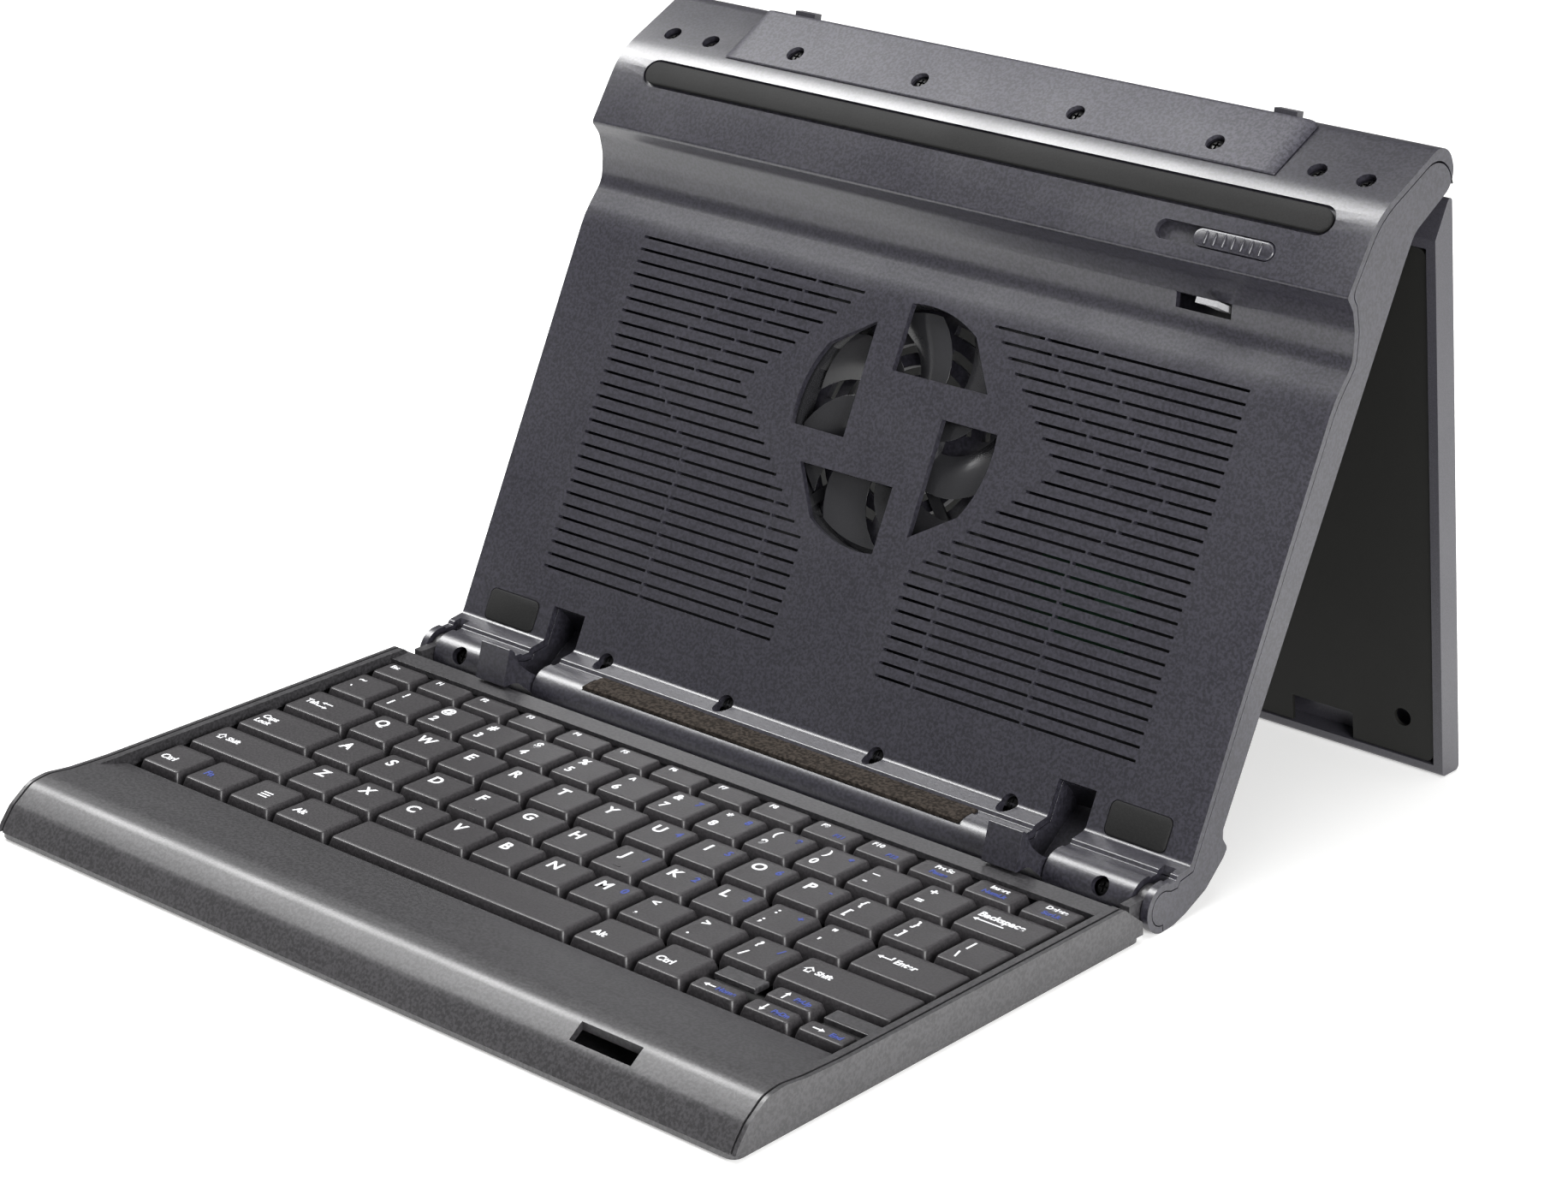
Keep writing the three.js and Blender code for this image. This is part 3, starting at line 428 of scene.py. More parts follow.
def from_tray(y, z):
    """A (y, z) point of the tray as a point of the panel's side view."""
    a = math.radians(PANEL_TILT)
    dy, dz = y - HINGE_IN_TRAY[0], z - HINGE_IN_TRAY[1]
    return (dy * math.cos(a) + dz * math.sin(a), dz * math.cos(a) - dy * math.sin(a))


HUMP_SCREWS = (-131, -114.7, 114.7, 131)
COVER_SCREWS = (-79.5, -29.5, 29.5, 79.5)
FIELD_SCREWS = (-79.7, -29.6, 29.6, 79.7)
BARREL_SCREWS = (-126, 126)
HUMP_SCREW_PLACE = (208.2, -8.8)
COVER_RECESS_PLACE = (210.2, -7.6)
COVER_SCREW_ANGLE = -30
FIELD_SCREW_S = 12.9
BARREL_SCREW_PLACE = (0.7, 7.1)
BARREL_SCREW_ANGLE = -6
RECESS_R = 2.9


def cover_recesses():
    return [disc(x, *COVER_RECESS_PLACE, RECESS_R, COVER_SCREW_ANGLE) for x in COVER_SCREWS]


def barrel_recesses():
    return [disc(x, *BARREL_SCREW_PLACE, RECESS_R, BARREL_SCREW_ANGLE) for x in BARREL_SCREWS]


def screw_tools():
    tools = [disc(x, *HUMP_SCREW_PLACE, RECESS_R, TOP_FACE_ANGLE) for x in HUMP_SCREWS]
    tools += cover_recesses()
    tools += [disc(x, FIELD_SCREW_S, -4.6, RECESS_R, 0) for x in FIELD_SCREWS]
    return tools + barrel_recesses()


front_outline, rear_outline = outline_halves(WALL, WALL + 0.3)
ear_boxes, ear_rods = ear_slots()
knuckle_cuts, knuckle_rods = knuckle_slots()
foam_seat = prism([from_tray(-1, 13.0), from_tray(8.9, 13.0), from_tray(8.9, 20), from_tray(-1, 20)], -74.4, 74.4)

front = carve("panel_front", PANEL, [prism(front_outline, -HALF, HALF)], [
    ("DIFFERENCE", [
        plate(capsule(130.4, 4.75), -1.3, 5, placed(0, STRIP_PLACE, STRIP_ANGLE)),
        plate(capsule(20.45, 3.0), -4, 4, placed(95.35, LATCH_PLACE, LATCH_ANGLE)),
        box(82.8, 102.0, 161.8, 166.0, -16, 2), foam_seat] + fan_windows()
        + [plate(rectangle(*span, 13.4, 24.0, 2.2), FIELD_N - 0.6, FIELD_N + 3) for span in both(112.5, 134.0)]),
    ("DIFFERENCE", arm_pockets() + ear_boxes + knuckle_cuts),
    ("DIFFERENCE", ear_rods + knuckle_rods + screw_tools()),
    ("DIFFERENCE", vent_slots()),
])
finish(front, SHELL, "panel", ["panel_front_shell"], "shell", width=0.28)

HOLLOW_TIP = 213.5
hollow_back = rounded([
    (HOLLOW_TIP, -27.0), (199.9, -19.2, 4), (190.0, -18.9, 4), (30.0, -15.9, 3), (24.6, -15.8, 1), (20.2, -18.6, 1),
    (19.0, -20.6, 1), (17.6, -20.4, 2), (8.4, -16.5, 3), (0.9, -10.2, 2), (-2.0, -7.0)], True)


def rear_grille():
    tools = []
    for radius in (13, 20, 27, 34):
        half = 45 - math.degrees(4 / radius)
        for middle in (45, 135, 225, 315):
            ring = arc(radius - 1.5, middle - half, middle + half, 10) + arc(
                radius + 1.5, middle + half, middle - half, 10)
            tools.append(plate(ring, -23, -15, Matrix.Translation((0, FAN_S, 0))))
    return tools


def clip(outline, low, high):
    """The part of a side outline with its first coordinate between low and high."""
    for limit, keep in ((low, 1), (high, -1)):
        out = []
        for i, q in enumerate(outline):
            p = outline[i - 1]
            p_in, q_in = keep * (p[0] - limit) >= 0, keep * (q[0] - limit) >= 0
            if p_in != q_in:
                k = (limit - p[0]) / (q[0] - p[0])
                out.append((limit, p[1] + (q[1] - p[1]) * k))
            if q_in:
                out.append(q)
        outline = out
    return outline


def rear_hollows():
    """The hollow of the tub, in the bays left between its solid bosses."""
    whole = [p for p in skin_line(WALL) if p[0] < HOLLOW_TIP] + hollow_back
    low = clip(whole, -20, 26.6)
    high = clip(whole, 205.4, 240)
    ends = [prism(low, *span) for span in ((-90.8, 90.8), (-130.6, -109.2), (109.2, 130.6))]
    ends += [prism(high, *span) for span in ((-81, 81), (-141.2, -101), (101, 141.2))]
    return ends, [prism(clip(whole, 26.5, 205.5), -141.2, 141.2)]


hollow_ends, hollow_middle = rear_hollows()
rear = carve("panel_rear", PANEL, [prism(rear_outline, -HALF, HALF)], [
    ("DIFFERENCE", hollow_middle),
    ("DIFFERENCE", hollow_ends),
    ("DIFFERENCE", arm_pockets() + ear_boxes + knuckle_cuts + rear_grille()),
    ("DIFFERENCE", ear_rods + knuckle_rods + barrel_recesses()),
])
finish(rear, SHELL, "panel", ["panel_rear_shell"], "shell", width=0.3)


def loft(sections):
    """Closed rings of equal length, joined in order and capped."""
    n = len(sections[0])
    verts = [tuple(p) for ring in sections for p in ring]
    faces = [tuple(range(n)), tuple(range(len(verts) - 1, len(verts) - n - 1, -1))]
    for k in range(len(sections) - 1):
        for i in range(n):
            a, b = k * n + i, k * n + (i + 1) % n
            faces.append((a, b, b + n, a + n))
    return verts, faces


def cover_wedge():
    """Raised plate on the top face; its two ends round down to the face."""
    slope = math.tan(math.radians(-TOP_FACE_ANGLE))
    lift = 0.3 / math.cos(math.radians(TOP_FACE_ANGLE))

    def face_n(s):
        return -0.95 - (s - 198.2) * slope + lift

    top = rounded([(203.8, face_n(203.8)), (204.3, face_n(203.8) + 0.25), (222.9, -16.1, 2.0),
                   (223.6, face_n(223.6))])
    sections = []
    end, turn = 104.0, 5.0
    stations = [-end + turn * (1 - math.cos(math.radians(a))) for a in range(0, 91, 10)]
    stations += [-x for x in reversed(stations)]
    for x in stations:
        inset = max(0.0, (abs(x) - (end - turn)) / turn)
        height = max(0.06, math.sqrt(max(0.0, 1 - inset ** 2)))
        back = 223.6 - 2.2 * (1 - height)
        ring = []
        for s, n in top:
            s = min(s, back)
            ring.append((x, s, face_n(s) + max(0.0, n - face_n(s)) * height))
        sections.append(ring)
    return loft(sections)


cover = carve("hinge_cover_plate", PANEL, [cover_wedge()], [("DIFFERENCE", cover_recesses())])
finish(cover, COVER, "panel", ["hinge_cover"], "shell", width=0.2)


def screw(x, place, degrees, depth, name):
    """Pan-head screw sunk in its recess, with a cross slot."""
    turn = placed(x, place, degrees)
    profile = [(0.2, 0.35), (1.2, 0.3), (2.0, 0.05), (2.45, -0.4), (2.5, -1.2)]
    rings = [[turn @ Vector((r * math.cos(a), r * math.sin(a), h - depth))
              for a in [math.radians(15 * k) for k in range(24)]] for r, h in profile]
    cross = [plate([(-w, -h), (w, -h), (w, h), (-w, h)], -depth - 0.9, -depth + 1, turn)
             for w, h in ((1.5, 0.32), (0.32, 1.5))]
    obj = carve(name, PANEL, [loft(rings)], [("DIFFERENCE", [c]) for c in cross])
    return finish(obj, SCREW, "panel", slot="steel", width=0.08)


for i, x in enumerate(HUMP_SCREWS):
    screw(x, HUMP_SCREW_PLACE, TOP_FACE_ANGLE, 2.0, f"screw_hump_{i + 1}")
for i, x in enumerate(FIELD_SCREWS):
    screw(x, (FIELD_SCREW_S, FIELD_N), 0, 1.6, f"screw_field_{i + 1}")
for i, x in enumerate(BARREL_SCREWS):
    screw(x, BARREL_SCREW_PLACE, BARREL_SCREW_ANGLE, 2.2, f"screw_barrel_{i + 1}")
for i, x in enumerate(COVER_SCREWS):
    obj = screw(x, (209.9, -8.1), COVER_SCREW_ANGLE, 1.7, f"screw_cover_{i + 1}")
    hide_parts(f"cover_screw_{i + 1}")


def cushion(name, outline, base, height, matrix, body, node, material, slot, dome=0.35):
    """A rubber pad with a rounded upper edge and a slightly domed top."""
    shrink = [(0, 0), (0, height - dome), (0.12, height - 0.4 * dome), (0.4, height)]
    cx = sum(p[0] for p in outline) / len(outline)
    cy = sum(p[1] for p in outline) / len(outline)
    half_x = max(p[0] for p in outline) - cx
    half_y = max(p[1] for p in outline) - cy
    rings = []
    for inset, z in shrink:
        rings.append([matrix @ Vector((cx + (x - cx) * (half_x - inset) / half_x,
                                       cy + (y - cy) * (half_y - inset) / half_y, base + z)) for x, y in outline])
    obj = link(name, mesh_from([loft(rings)], Matrix.Identity(4), name))
    return finish(obj, material, body, [node], slot, width=0.08)


cushion("top_strip", capsule(129.4, 3.75), -1.0, 1.6, PANEL @ placed(0, STRIP_PLACE, STRIP_ANGLE), "panel",
        "rubber_strip_top", RUBBER, "rubber")
for side, span in zip(("left", "right"), both(112.8, 133.7)):
    cushion(f"corner_pad_{side}", rectangle(*span, 13.7, 23.7, 2.0), FIELD_N - 0.3, 0.8, PANEL, "panel",
            f"rubber_pad_{side}", RUBBER, "rubber")


FOAM_HALF = 74
FOAM_START, FOAM_WIDTH = 1.5, 9.3
FOAM_BASE, FOAM_TOP = 13.3, 14.8


def foam_block():
    """Foam strip with a softly uneven, porous top, laid out in the tray's side view."""
    rng = random.Random(7)
    columns, across = 220, 12
    sections = []
    for i in range(columns + 1):
        x = -FOAM_HALF + 2 * FOAM_HALF * i / columns
        ring = []
        for k in range(across + 1):
            y = FOAM_START + FOAM_WIDTH * k / across
            edge = min(k, across - k, i, columns - i)
            z = FOAM_TOP - (0.45 if edge == 0 else 0.0) + rng.uniform(-0.14, 0.1)
            ring.append((x, *from_tray(y, z)))
        ring += [(x, *from_tray(y, FOAM_BASE)) for y in (FOAM_START + FOAM_WIDTH, FOAM_START)]
        sections.append(ring)
    return loft(sections)


foam = link("foam_block", mesh_from([foam_block()], PANEL, "foam_block"))
finish(foam, FOAM, "panel", ["foam_strip"], "foam", edges=False)


# ------------------------------------------------------------------ fan
def fan_blades(count=7, inner=14.3, outer=36.3):
    """Pitched and swept blades, thin at both edges."""
    solids = []
    for i in range(count):
        sections = []
        for k in range(9):
            t = k / 8
            top = []
            bottom = []
            for j in range(9):
                u = j / 8
                angle = 360 * i / count + 34 * t ** 1.4 + (40 - 6 * t) * u
                s, x = inner + (outer - inner) * t, -11.5 - 2.9 * u + 0.5 * math.sin(math.pi * u)
                thick = 0.12 + 0.4 * math.sin(math.pi * u)
                px, py = polar(s, angle)
                top.append((px, py + FAN_S, x + thick))
                bottom.append((px, py + FAN_S, x - thick))
            sections.append(top + bottom[::-1])
        solids.append(loft(sections))
    return solids


def fan_hub():
    profile = [(1.7, -14.8), (14.6, -14.8), (15.0, -14.4), (15.0, -11.4), (14.7, -10.9), (14.2, -10.6), (12.5, -10.5),
               (12.2, -10.75), (1.7, -10.75)]
    rings = [[(r * math.cos(a), FAN_S + r * math.sin(a), n) for a in [math.radians(6 * k) for k in range(60)]]
             for r, n in profile]
    verts, faces = loft(rings + [rings[0]])
    return verts, faces[2:]


rotor = link("fan_blades", mesh_from(fan_blades() + [fan_hub()], PANEL, "fan_blades"))
finish(rotor, FAN, "fan", ["fan_rotor"], "fan_plastic", width=0.1)


# ------------------------------------------------------------------ latch
def latch_button():
    turn = placed(LATCH_X, LATCH_PLACE, LATCH_ANGLE)
    length, width = LATCH_HALF
    outline = capsule(length, width)
    rings = []
    for inset, z in ((0, -1.8), (0, 0.1), (0.25, 0.45), (0.7, 0.6)):
        rings.append([turn @ Vector((x * (length - inset) / length, y * (width - inset) / width, z))
                      for x, y in outline])
    solids = [loft(rings)]
    for i in range(7):
        centre = (i - 3) * 3.1
        rib = []
        for y, r in ((-2.1, 0.15), (-1.8, 0.45), (0, 0.6), (1.8, 0.45), (2.1, 0.15)):
            rib.append([turn @ Vector((centre + r * math.cos(a), y, 0.5 + r * 1.15 * math.sin(a)))
                        for a in [math.radians(30 * k) for k in range(12)]])
        solids.append(loft(rib))
    return solids


shutter = plate(capsule(33.0, 4.2), -2.95, -2.35, placed(LATCH_X, LATCH_PLACE, LATCH_ANGLE))
button = link("latch_slider", mesh_from(latch_button() + [shutter], PANEL, "latch_slider"))
finish(button, SHELL, "latch", ["latch_button"], "shell", width=0.12)


# ------------------------------------------------------------------ notebook support arms
arm_profile = rounded(
    [(-3.2, 19.1, 0.4), (-0.6, 13.6, 4), (-2.2, 8.0, 4)] + arc(2.6, 165, 360, 12, ARM_PIVOT)
    + [(2.4, 3.0, 5), (3.4, 10.0, 9), (5.0, 15.4, 6), (8.3, 18.9, 1.2), (8.8, 21.4, 0.5)])
for side, span in zip(("left", "right"), both(94.0, 106.0)):
    arm = carve(f"arm_{side}_shell", PANEL, [prism(arm_profile, *span)],
                [("DIFFERENCE", [rod(*ARM_PIVOT, 1.45, span[0] - 1, span[1] + 1, 20)])])
    finish(arm, SHELL, f"arm_{side}", [f"support_arm_{side}"], "shell", width=0.35)

# ------------------------------------------------------------------ rear leg
LEG_INNER = 2.7
LEG_OUTER = -6.1
LEG_LEAN = math.radians(LEG_TILT)
LEG_PIVOT_Z = JOINTS["leg_fold"]["pos_m"][2] / MM


def foot_at(z, height=0.5):
    return (height - LEG_PIVOT_Z - z * math.cos(LEG_LEAN)) / math.sin(LEG_LEAN)


slab = rounded([(foot_at(LEG_OUTER), LEG_OUTER, 1.5), (-6.6, LEG_OUTER, 1.2), (-19.5, LEG_INNER, 1.0),
                (foot_at(LEG_INNER), LEG_INNER, 1.5)])
knuckles = []
lugs = []
for span in both(KNUCKLE_X - 4, KNUCKLE_X + 4):
    knuckles.append(prism([(-21, 2.4), (-21, -5.6), (-9, -5.6), (-1.5, -3.9), (-1.0, 2.6)], *span))
    lugs.append(prism([(0.48, 1.53), (-0.48, -1.53), (8.11, -4.23), (9.07, -1.17)], *span))
eyes = [rod(0, 0, 4.2, *span) for span in both(KNUCKLE_X - 4, KNUCKLE_X + 4)]
leg = carve("leg_shell", LEG, [prism(slab, -HALF, HALF)], [
    ("DIFFERENCE", [box(-140, 140, -189.0, -22.5, LEG_OUTER + WALL, LEG_INNER + 1),
                    prism([(-200, -3.9), (-190.9, -3.9), (-190.9, 0.9), (-200, 0.9)], -70.4, 70.4)]),
    ("UNION", knuckles), ("UNION", lugs), ("UNION", eyes),
    ("DIFFERENCE", [rod(0, 0, 1.85, *span, 24) for span in both(80, 102)]),
])
finish(leg, LEG_SHELL, "leg", ["leg_outer_shell"], "leg_shell", width=0.3)

cover_outline = rectangle(-139.6, 139.6, -188.6, -22.9, 3.0)
inner = carve("leg_cover", LEG, [plate(cover_outline, 0.9, LEG_INNER - 0.5)], [
    ("DIFFERENCE", [box(*span, -190, -180, 0, 4) for span in both(89, 111)]
     + [plate(arc(2.9, 0, 345, 23, (x, -176)), 0, 4) for x in (-129, 129)]),
])
finish(inner, LEG_COVER, "leg", ["leg_inner_cover"], "leg_shell", width=0.25)

# ------------------------------------------------------------------ keyboard tray
DECK_Z = 11.8
SEAM_Z = 2.5
WELL = (-139.0, 139.0, -124.4, -17.6)
NOSE = [(-142.0, 13.9, 12), (-150.5, 15.0, 12), (-156.8, 14.2, 8), (-163.8, 9.3, 7), (-167.4, 4.8, 5),
        (-168.6, SEAM_Z)]
DECK_LINE = [(-3.0, SEAM_Z), (-3.2, 8.0, 1.0), (-6.6, DECK_Z, 0.6), (WELL[2], 11.0), (-135.6, 13.8, 6)] + NOSE
RIM_LINE = [(-3.0, SEAM_Z), (-3.4, 6.4, 1.0), (-5.8, 8.2, 1.0), (-11.8, 13.0, 1.5), (-128, 13.3, 20)] + NOSE
TRAY_HOLLOW = [(-5.0, 0), (-5.2, 7.2), (-7.6, DECK_Z - WALL), (WELL[2], 9.0), (-135.8, 11.8), (-150.6, 12.9),
               (-156.0, 12.1), (-162.2, 8.0), (-165.6, 3.9), (-166.2, 0)]


def above(line):
    """The side view of everything above an open line of the tray."""
    points = rounded(line, True)
    return points + [(-190, points[-1][1]), (-190, 40), (20, 40), (20, points[0][1])]


bead = offset(RIM_LINE[2:], 0.7)
ears = [box(*span, -6, 5.8, 3.0, 11.0) for span in both(137.2, 140.4)]
ear_eyes = [rod(*HINGE_IN_TRAY, 5.5, *span) for span in both(137.2, 140.4)]
tray = carve("tray_shell", TRAY, [prism(rounded(RIM_LINE), -HALF, HALF)], [
    ("DIFFERENCE", [prism(above(DECK_LINE), -138.9, 138.9)]),
    ("DIFFERENCE", [prism(TRAY_HOLLOW, -141.2, 141.2)]),
    ("DIFFERENCE", [box(*WELL, 0, 30)]),
    ("DIFFERENCE", [prism(above(bead), *span) for span in both(141.2, 141.9)]
     + [box(80.5, 102, -162.2, -157.3, 7.5, 20)]),
    ("UNION", ears), ("UNION", ear_eyes),
    ("DIFFERENCE", [rod(*HINGE_IN_TRAY, 2.25, *span, 24) for span in both(130, 145)]),
])
finish(tray, DECK, "keyboard", ["tray_top_frame"], "deck", width=0.35)

# ------------------------------------------------------------------ carried-over CAD nodes
CARRIED = {
    "tray_bottom_cover": DECK, "key_backplate": STEEL, "key_membrane": WELL_RUBBER, "controller_board": BOARD,
    "tray_foot_front_left": RUBBER, "tray_foot_front_right": RUBBER, "tray_foot_rear_left": RUBBER,
    "tray_foot_rear_right": RUBBER, "leg_foot_strip": RUBBER, "fan_frame": FAN, "fan_axle": STEEL,
    "fan_board": BOARD, "latch_hook": HOOK,
    "arm_pin_left": STEEL, "arm_pin_right": STEEL, "hinge_pin_left": STEEL, "hinge_pin_right": STEEL,
    "leg_pin_left": STEEL, "leg_pin_right": STEEL,
}
for node, material in CARRIED.items():
    obj = NODES[node]
    obj.data.materials.clear()
    obj.data.materials.append(material)
    soften(obj, width=0.12)

# ------------------------------------------------------------------ keys
KEY_BASE = 6.6
KEY_SHOULDER = 9.0
KEY_TOP = 11.6
PITCH = 19.0
UNITS = 14.5
FIRST_X = -UNITS * PITCH / 2
GAP = 4.3
DEPTH = 14.35
ROWS = {"number": -46.1, "q": -64.6, "a": -83.2, "z": -101.7, "space": -120.2, "function": -28.3}


def cap(x0, x1, y0, y1, dish=0.12):
    """A key cap: straight foot, sloping sides, rounded upper edge and a shallow dish."""
    cx, cy = (x0 + x1) / 2, (y0 + y1) / 2
    levels = [(0.95, KEY_BASE, 0.9), (0.9, KEY_SHOULDER, 0.9), (0.3, KEY_TOP - 0.4, 1.1), (0.2, KEY_TOP - 0.17, 1.15),
              (-0.05, KEY_TOP, 1.2), (-1.3, KEY_TOP - 0.3 * dish, 1.3)]
    rings = []
    for grow, z, r in levels:
        ring = rounded([(x0 - grow, y0 - grow, r), (x1 + grow, y0 - grow, r), (x1 + grow, y1 + grow, r),
                        (x0 - grow, y1 + grow, r)], step=15)
        rings.append([(x, y, z) for x, y in ring])
    rings.append([(cx + (x - cx) * 0.5, cy + (y - cy) * 0.5, KEY_TOP - dish) for x, y, _ in rings[-1]])
    return loft(rings)


def span(start, units, pitch=PITCH):
    return (FIRST_X + start * pitch + GAP / 2, FIRST_X + (start + units) * pitch - GAP / 2)


def row_key(row, start, units):
    return (*span(start, units), ROWS[row], ROWS[row] + DEPTH)


FUNCTION_PITCH = UNITS * PITCH / 14
ARROW = 0.99
ARROW_AT = 11.53
ARROW_DEPTH = 5.9
KEYS = {
    "key_bank_function_row": [(*span(i, 1, FUNCTION_PITCH), ROWS["function"] + 0.3, ROWS["function"] + 8.6)
                              for i in range(14)],
    "key_bank_number_row": [row_key("number", i, 1) for i in range(13)],
    "key_backspace": [row_key("number", 13, 1.5)],
    "key_tab": [row_key("q", 0, 1.5)],
    "key_bank_upper_letters": [row_key("q", 1.5 + i, 1) for i in range(13)],
    "key_caps_lock": [row_key("a", 0, 1.75)],
    "key_bank_middle_letters": [row_key("a", 1.75 + i, 1) for i in range(11)],
    "key_enter": [row_key("a", 12.75, 1.75)],
    "key_shift_left": [row_key("z", 0, 2.25)],
    "key_bank_lower_letters": [row_key("z", 2.25 + i, 1) for i in range(10)],
    "key_shift_right": [row_key("z", 12.25, 2.25)],
    "key_ctrl_left": [row_key("space", 0, 1)],
    "key_fn": [row_key("space", 1, 1.02)],
    "key_menu": [row_key("space", 2.02, 1.03)],
    "key_alt_left": [row_key("space", 3.05, 1.25)],
    "key_space": [row_key("space", 4.3, 5.0)],
    "key_alt_right": [row_key("space", 9.3, 1.23)],
    "key_ctrl_right": [row_key("space", 10.53, 1.0)],
}
for column, (name, upper) in enumerate((("left", False), ("down", False), ("up", True), ("right", False))):
    place = (0, 1, 1, 2)[column]
    y0 = ROWS["space"] + (DEPTH - ARROW_DEPTH + 0.3 if upper else 0)
    KEYS[f"key_arrow_{name}"] = [(*span(ARROW_AT + place * ARROW, ARROW), y0, y0 + ARROW_DEPTH - 0.3)]

# Legends in key order: the white print, then after a bar the blue second function.
LEGENDS = {
    "key_bank_function_row": ["Esc", "F1", "F2", "F3", "F4", "F5", "F6", "F7", "F8", "F9|F11", "F10|F12",
                              "Prt Sc|Pause", "Insert|NumLk", "Delete|ScrLk"],
    "key_bank_number_row": ["~ `", "! 1", "@ 2", "# 3", "$ 4", "% 5", "^ 6", "& 7|7", "* 8|8", "( 9|9", ") 0|*",
                            "_ -", "+ ="],
    "key_backspace": ["Backspace"],
    "key_tab": ["Tab"],
    "key_bank_upper_letters": ["Q", "W", "E", "R", "T", "Y", "U|4", "I|5", "O|6", "P|-", "{ [", "} ]", "| \\"],
    "key_caps_lock": ["Caps Lock"],
    "key_bank_middle_letters": ["A", "S", "D", "F", "G", "H", "J|1", "K|2", "L|3", ": ;|+", "\" '"],
    "key_enter": ["Enter"],
    "key_shift_left": ["Shift"],
    "key_bank_lower_letters": ["Z", "X", "C", "V", "B", "N", "M|0", "< ,", "> .", "? /|/"],
    "key_shift_right": ["Shift"],
    "key_ctrl_left": ["Ctrl"],
    "key_fn": ["|Fn"],
    "key_menu": [""],
    "key_alt_left": ["Alt"],
    "key_alt_right": ["Alt"],
    "key_ctrl_right": ["Ctrl"],
}

glyph_cache = {}


def glyphs(text, bold=0.03):
    """Flat letters as (vertices, faces), one unit of size, standing on the first axis."""
    if text not in glyph_cache:
        curve = bpy.data.curves.new("text", "FONT")
        curve.body = text
        curve.offset = bold
        curve.extrude = 0.004
        obj = link("text", curve)
        mesh = bpy.data.meshes.new_from_object(obj.evaluated_get(bpy.context.evaluated_depsgraph_get()))
        bpy.data.objects.remove(obj)
        glyph_cache[text] = ([v.co.copy() for v in mesh.vertices], [tuple(p.vertices) for p in mesh.polygons])
        bpy.data.meshes.remove(mesh)
    return glyph_cache[text]


CAP_HEIGHT = max(v.y for v in glyphs("H")[0])
PRINT_Z = KEY_TOP - 0.04
PRINT_TOP = PRINT_Z + 0.06


def lettering(text, x, y, height, centred=True):
    """Letters with their middle (or left end) at x and their middle height at y."""
    verts, faces = glyphs(text)
    size = height / CAP_HEIGHT
    low = min(v.x for v in verts)
    high = max(v.x for v in verts)
    start = (low + high) / 2 if centred else low
    return [((v.x - start) * size + x, (v.y - CAP_HEIGHT / 2) * size + y, PRINT_Z + v.z * 10) for v in verts], faces


def arrow(x, y, length, degrees, head=0.9, shaft=0.28):
    """A plain arrow pointing along the given direction."""
    points = [(-length / 2, -shaft), (length / 2 - 1.5, -shaft), (length / 2 - 1.5, -head), (length / 2, 0),
              (length / 2 - 1.5, head), (length / 2 - 1.5, shaft), (-length / 2, shaft)]
    turn = Matrix.Translation((x, y, 0)) @ Matrix.Rotation(math.radians(degrees), 4, "Z")
    return plate(points, PRINT_Z, PRINT_TOP, turn)


def outline_arrow(x, y):
    """Hollow upward arrow of the shift keys."""
    def ring(k):
        return [(0, 1.9 * k), (1.9 * k, 0), (0.95 * k, 0), (0.95 * k, -1.5 * k), (-0.95 * k, -1.5 * k),
                (-0.95 * k, 0), (-1.9 * k, 0)]
    outer, inner = ring(1.0), ring(0.62)
    solids = []
    for i in range(7):
        j = (i + 1) % 7
        quad = [outer[i], outer[j], inner[j], inner[i]]
        solids.append(plate([(x + a, y + b) for a, b in quad], PRINT_Z, PRINT_TOP))
    return solids


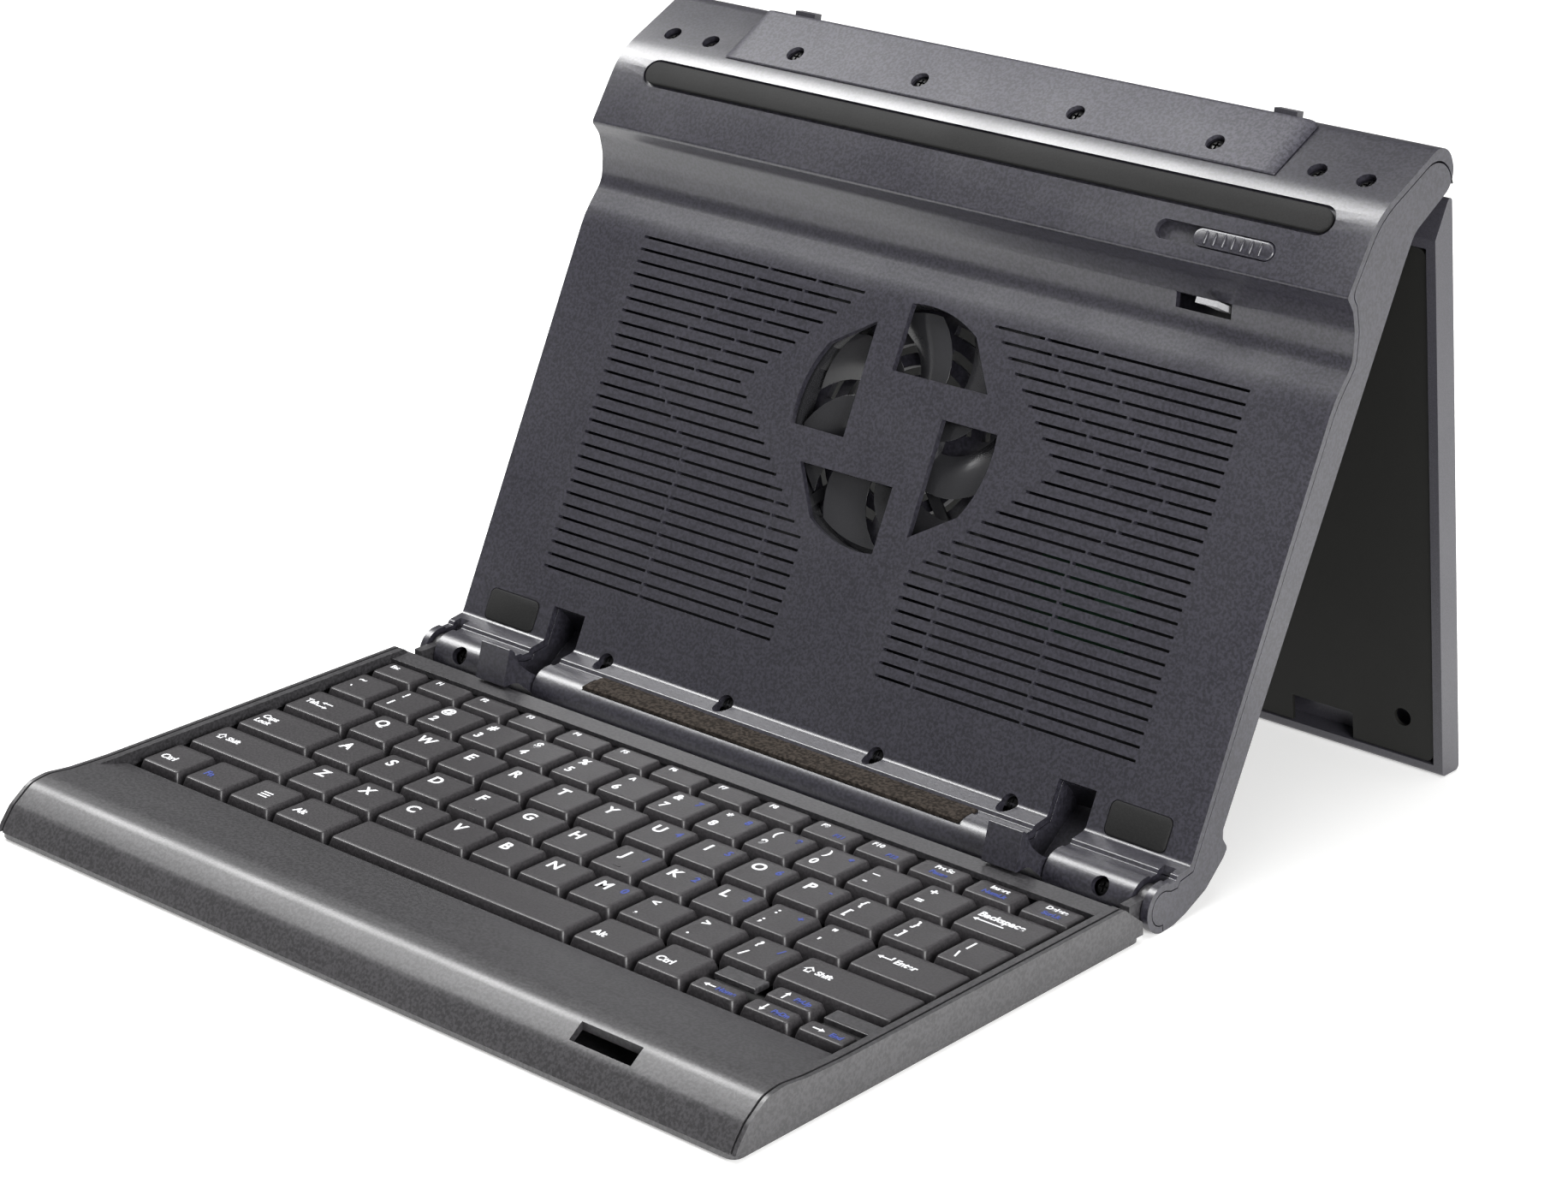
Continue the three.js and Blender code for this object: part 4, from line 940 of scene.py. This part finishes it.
def key_print(node, rects):
    """White and blue print of one key or bank, as two lists of solids."""
    white, blue = [], []
    for (x0, x1, y0, y1), legend in zip(rects, LEGENDS.get(node, [""] * len(rects))):
        main, _, extra = legend.partition("|") if legend != "| \\" else (legend, "", "")
        middle = (y0 + y1) / 2
        if node == "key_bank_function_row":
            word = len(main) > 3
            white.append(lettering(main, x0 + (7.8 if word else 3.4), y1 - 1.9, 1.9))
            if extra:
                blue.append(lettering(extra, x0 + 8.2 if word else x1 - 4.4, y1 - 5.2, 1.9))
        elif " " in main and len(main) == 3:
            upper, lower = main.split(" ")
            white.append(lettering(upper, x0 + 3.3, y1 - 3.3, 3.2))
            white.append(lettering(lower, x0 + 3.3, y1 - 9.8, 3.2))
            if extra:
                blue.append(lettering(extra, x1 - 3.6, y1 - 3.4, 2.6))
        elif len(main) == 1:
            white.append(lettering(main, x0 + 4.3, y1 - 4.5, 4.0))
            if extra:
                blue.append(lettering(extra, x1 - 3.4, y1 - 3.9, 2.8))
        elif main == "Caps Lock":
            white.append(lettering("Caps", x0 + 1.8, y1 - 5.6, 2.3, False))
            white.append(lettering("Lock", x0 + 1.8, y1 - 9.0, 2.3, False))
        elif main == "Shift":
            at = y1 - 6.2
            white.extend(outline_arrow(x0 + 4.2, at))
            white.append(lettering("Shift", x0 + 6.8, at, 2.2, False))
        elif main == "Enter":
            white.append(arrow(x0 + 5.0, y1 - 6.0, 5.0, 180))
            white.append(plate([(x0 + 6.9, y1 - 5.9), (x0 + 7.5, y1 - 5.9), (x0 + 7.5, y1 - 4.3), (x0 + 6.9, y1 - 4.3)],
                               PRINT_Z, PRINT_TOP))
            white.append(lettering("Enter", x0 + 8.6, y1 - 5.8, 2.4, False))
        elif main == "Backspace":
            white.append(lettering(main, x0 + 2.0, y1 - 5.0, 2.7, False))
            white.append(arrow(x0 + 7.2, y1 - 8.4, 10.4, 180))
        elif main in ("Ctrl", "Alt"):
            white.append(lettering(main, x0 + 1.8, middle - 1.2, 2.6, False))
        elif extra == "Fn":
            blue.append(lettering(extra, x0 + 2.2, middle - 1.2, 2.6, False))
    if node == "key_tab":
        x0, _, y0, y1 = rects[0]
        white.append(lettering("Tab", x0 + 1.9, y1 - 7.0, 2.4, False))
        for dy, turn in ((1.3, 180), (-1.3, 0)):
            white.append(arrow(x0 + 9.6, y1 - 7.0 + dy, 4.6, turn, 0.8))
    if node == "key_menu":
        x0, x1, y0, y1 = rects[0]
        x = (x0 + x1) / 2
        for dy in (-1.3, 0, 1.3):
            y = (y0 + y1) / 2 + dy - 0.4
            white.append(plate(rectangle(x - 1.9, x + 1.9, y - 0.3, y + 0.3, 0.1), PRINT_Z, PRINT_TOP))
    if node.startswith("key_arrow"):
        x0, x1, y0, y1 = rects[0]
        turn = {"left": 180, "right": 0, "up": 90, "down": 270}[node.rsplit("_", 1)[1]]
        word = {"left": "Home", "right": "End", "up": "PgUp", "down": "PgDn"}[node.rsplit("_", 1)[1]]
        white.append(arrow(x0 + 4.4, (y0 + y1) / 2, 4.0, turn))
        blue.append(lettering(word, x0 + 10.4, (y0 + y1) / 2, 1.9))
    return white, blue


TOUCH_KEYS = (3, 6)  # F and J in the middle row

for node, rects in KEYS.items():
    body = node + "_body"
    caps = link("caps_" + node[4:], mesh_from([cap(*r) for r in rects], TRAY, node))
    for polygon in caps.data.polygons:
        polygon.use_smooth = True
    caps.data.set_sharp_from_angle(angle=math.radians(48))
    finish(caps, KEYCAP, body, [node], "keycap", edges=False)
    if node == "key_bank_middle_letters":
        bars = []
        for x0, x1, y0, _ in [rects[i] for i in TOUCH_KEYS]:
            cx = (x0 + x1) / 2
            bars.append(box(cx - 1.3, cx + 1.3, y0 + 2.4, y0 + 2.95, KEY_TOP - 0.25, KEY_TOP + 0.12))
        finish(link("touch_bars", mesh_from(bars, TRAY, "bars")), KEYCAP, body, slot="keycap", width=0.1)
    for solids, material, tint in zip(key_print(node, rects), (LEGEND, LEGEND_BLUE), ("white", "blue")):
        if solids:
            finish(link(f"print_{tint}_{node[4:]}", mesh_from(solids, TRAY, "print")), material, body,
                   slot="keycap", edges=False)

# Plain raised blanks of the tray beside the up key.
for side, place in (("left", 0), ("right", 2)):
    x0, x1 = span(ARROW_AT + place * ARROW, ARROW)
    high = ROWS["space"] + DEPTH
    if place:
        x0, x1 = x0 + 0.4, x1 + 1.6
    blank = link(f"arrow_blank_{side}", mesh_from([box(x0, x1, high - 5.2, high + 0.6, 9.5, 11.3)], TRAY, "blank"))
    finish(blank, DECK, "keyboard", slot="deck", width=0.35)

# ------------------------------------------------------------------ stage, light and camera
FLOOR_HALF = 6000
floor = link("floor", mesh_from([box(-FLOOR_HALF, FLOOR_HALF, -FLOOR_HALF, FLOOR_HALF, -20, 0)],
                                Matrix.Identity(4), "floor"))
floor_material = bpy.data.materials.new("floor_white")
floor_material.use_nodes = True
floor_shader = floor_material.node_tree.nodes["Principled BSDF"]
floor_shader.inputs["Base Color"].default_value = (0.92, 0.92, 0.915, 1)
floor_shader.inputs["Roughness"].default_value = 0.8
floor_shader.inputs["Specular IOR Level"].default_value = 0.1
floor_shader.inputs["Emission Color"].default_value = (1.0, 0.995, 0.985, 1)
floor_shader.inputs["Emission Strength"].default_value = 0.32
floor.data.materials.append(floor_material)

world = bpy.data.worlds.new("studio")
world.use_nodes = True
world.node_tree.nodes["Background"].inputs["Color"].default_value = (1.0, 1.0, 1.0, 1)
world.node_tree.nodes["Background"].inputs["Strength"].default_value = 0.25
bpy.context.scene.world = world


def softbox(name, place, target, width, height, watts):
    light = bpy.data.lights.new(name, "AREA")
    light.shape = "RECTANGLE"
    light.size = width
    light.size_y = height
    light.energy = watts
    obj = bpy.data.objects.new(name, light)
    bpy.context.scene.collection.objects.link(obj)
    obj.location = place
    obj.rotation_euler = (Vector(target) - Vector(place)).to_track_quat("-Z", "Y").to_euler()
    return obj


softbox("key_light", (-1.10, -0.06, 1.38), (0, -0.03, 0.08), 0.55, 0.95, 34)
softbox("top_light", (0.1, -0.2, 1.7), (0, -0.05, 0.05), 1.0, 1.0, 12)
softbox("side_light", (1.5, -0.6, 0.55), (0, 0, 0.1), 0.8, 0.7, 34)

AZIMUTH, ELEVATION, ROLL = 41.44, 21.07, 0.21
CAMERA_AT = Vector((0.7207, -0.8056 + TRAY.translation.y * MM, 0.4823))
camera_data = bpy.data.cameras.new("camera")
camera_data.lens = 91.86
camera_data.sensor_width = 36.0
camera_data.clip_end = 50
camera = bpy.data.objects.new("camera", camera_data)
bpy.context.scene.collection.objects.link(camera)
a, e = math.radians(AZIMUTH), math.radians(ELEVATION)
back = Vector((math.sin(a) * math.cos(e), -math.cos(a) * math.cos(e), math.sin(e)))
roll = Matrix.Rotation(math.radians(ROLL), 3, "Z")
camera.rotation_euler = (back.to_track_quat("Z", "Y").to_matrix() @ roll).to_euler()
camera.location = CAMERA_AT
bpy.context.scene.camera = camera
bpy.context.scene.view_settings.view_transform = "Standard"
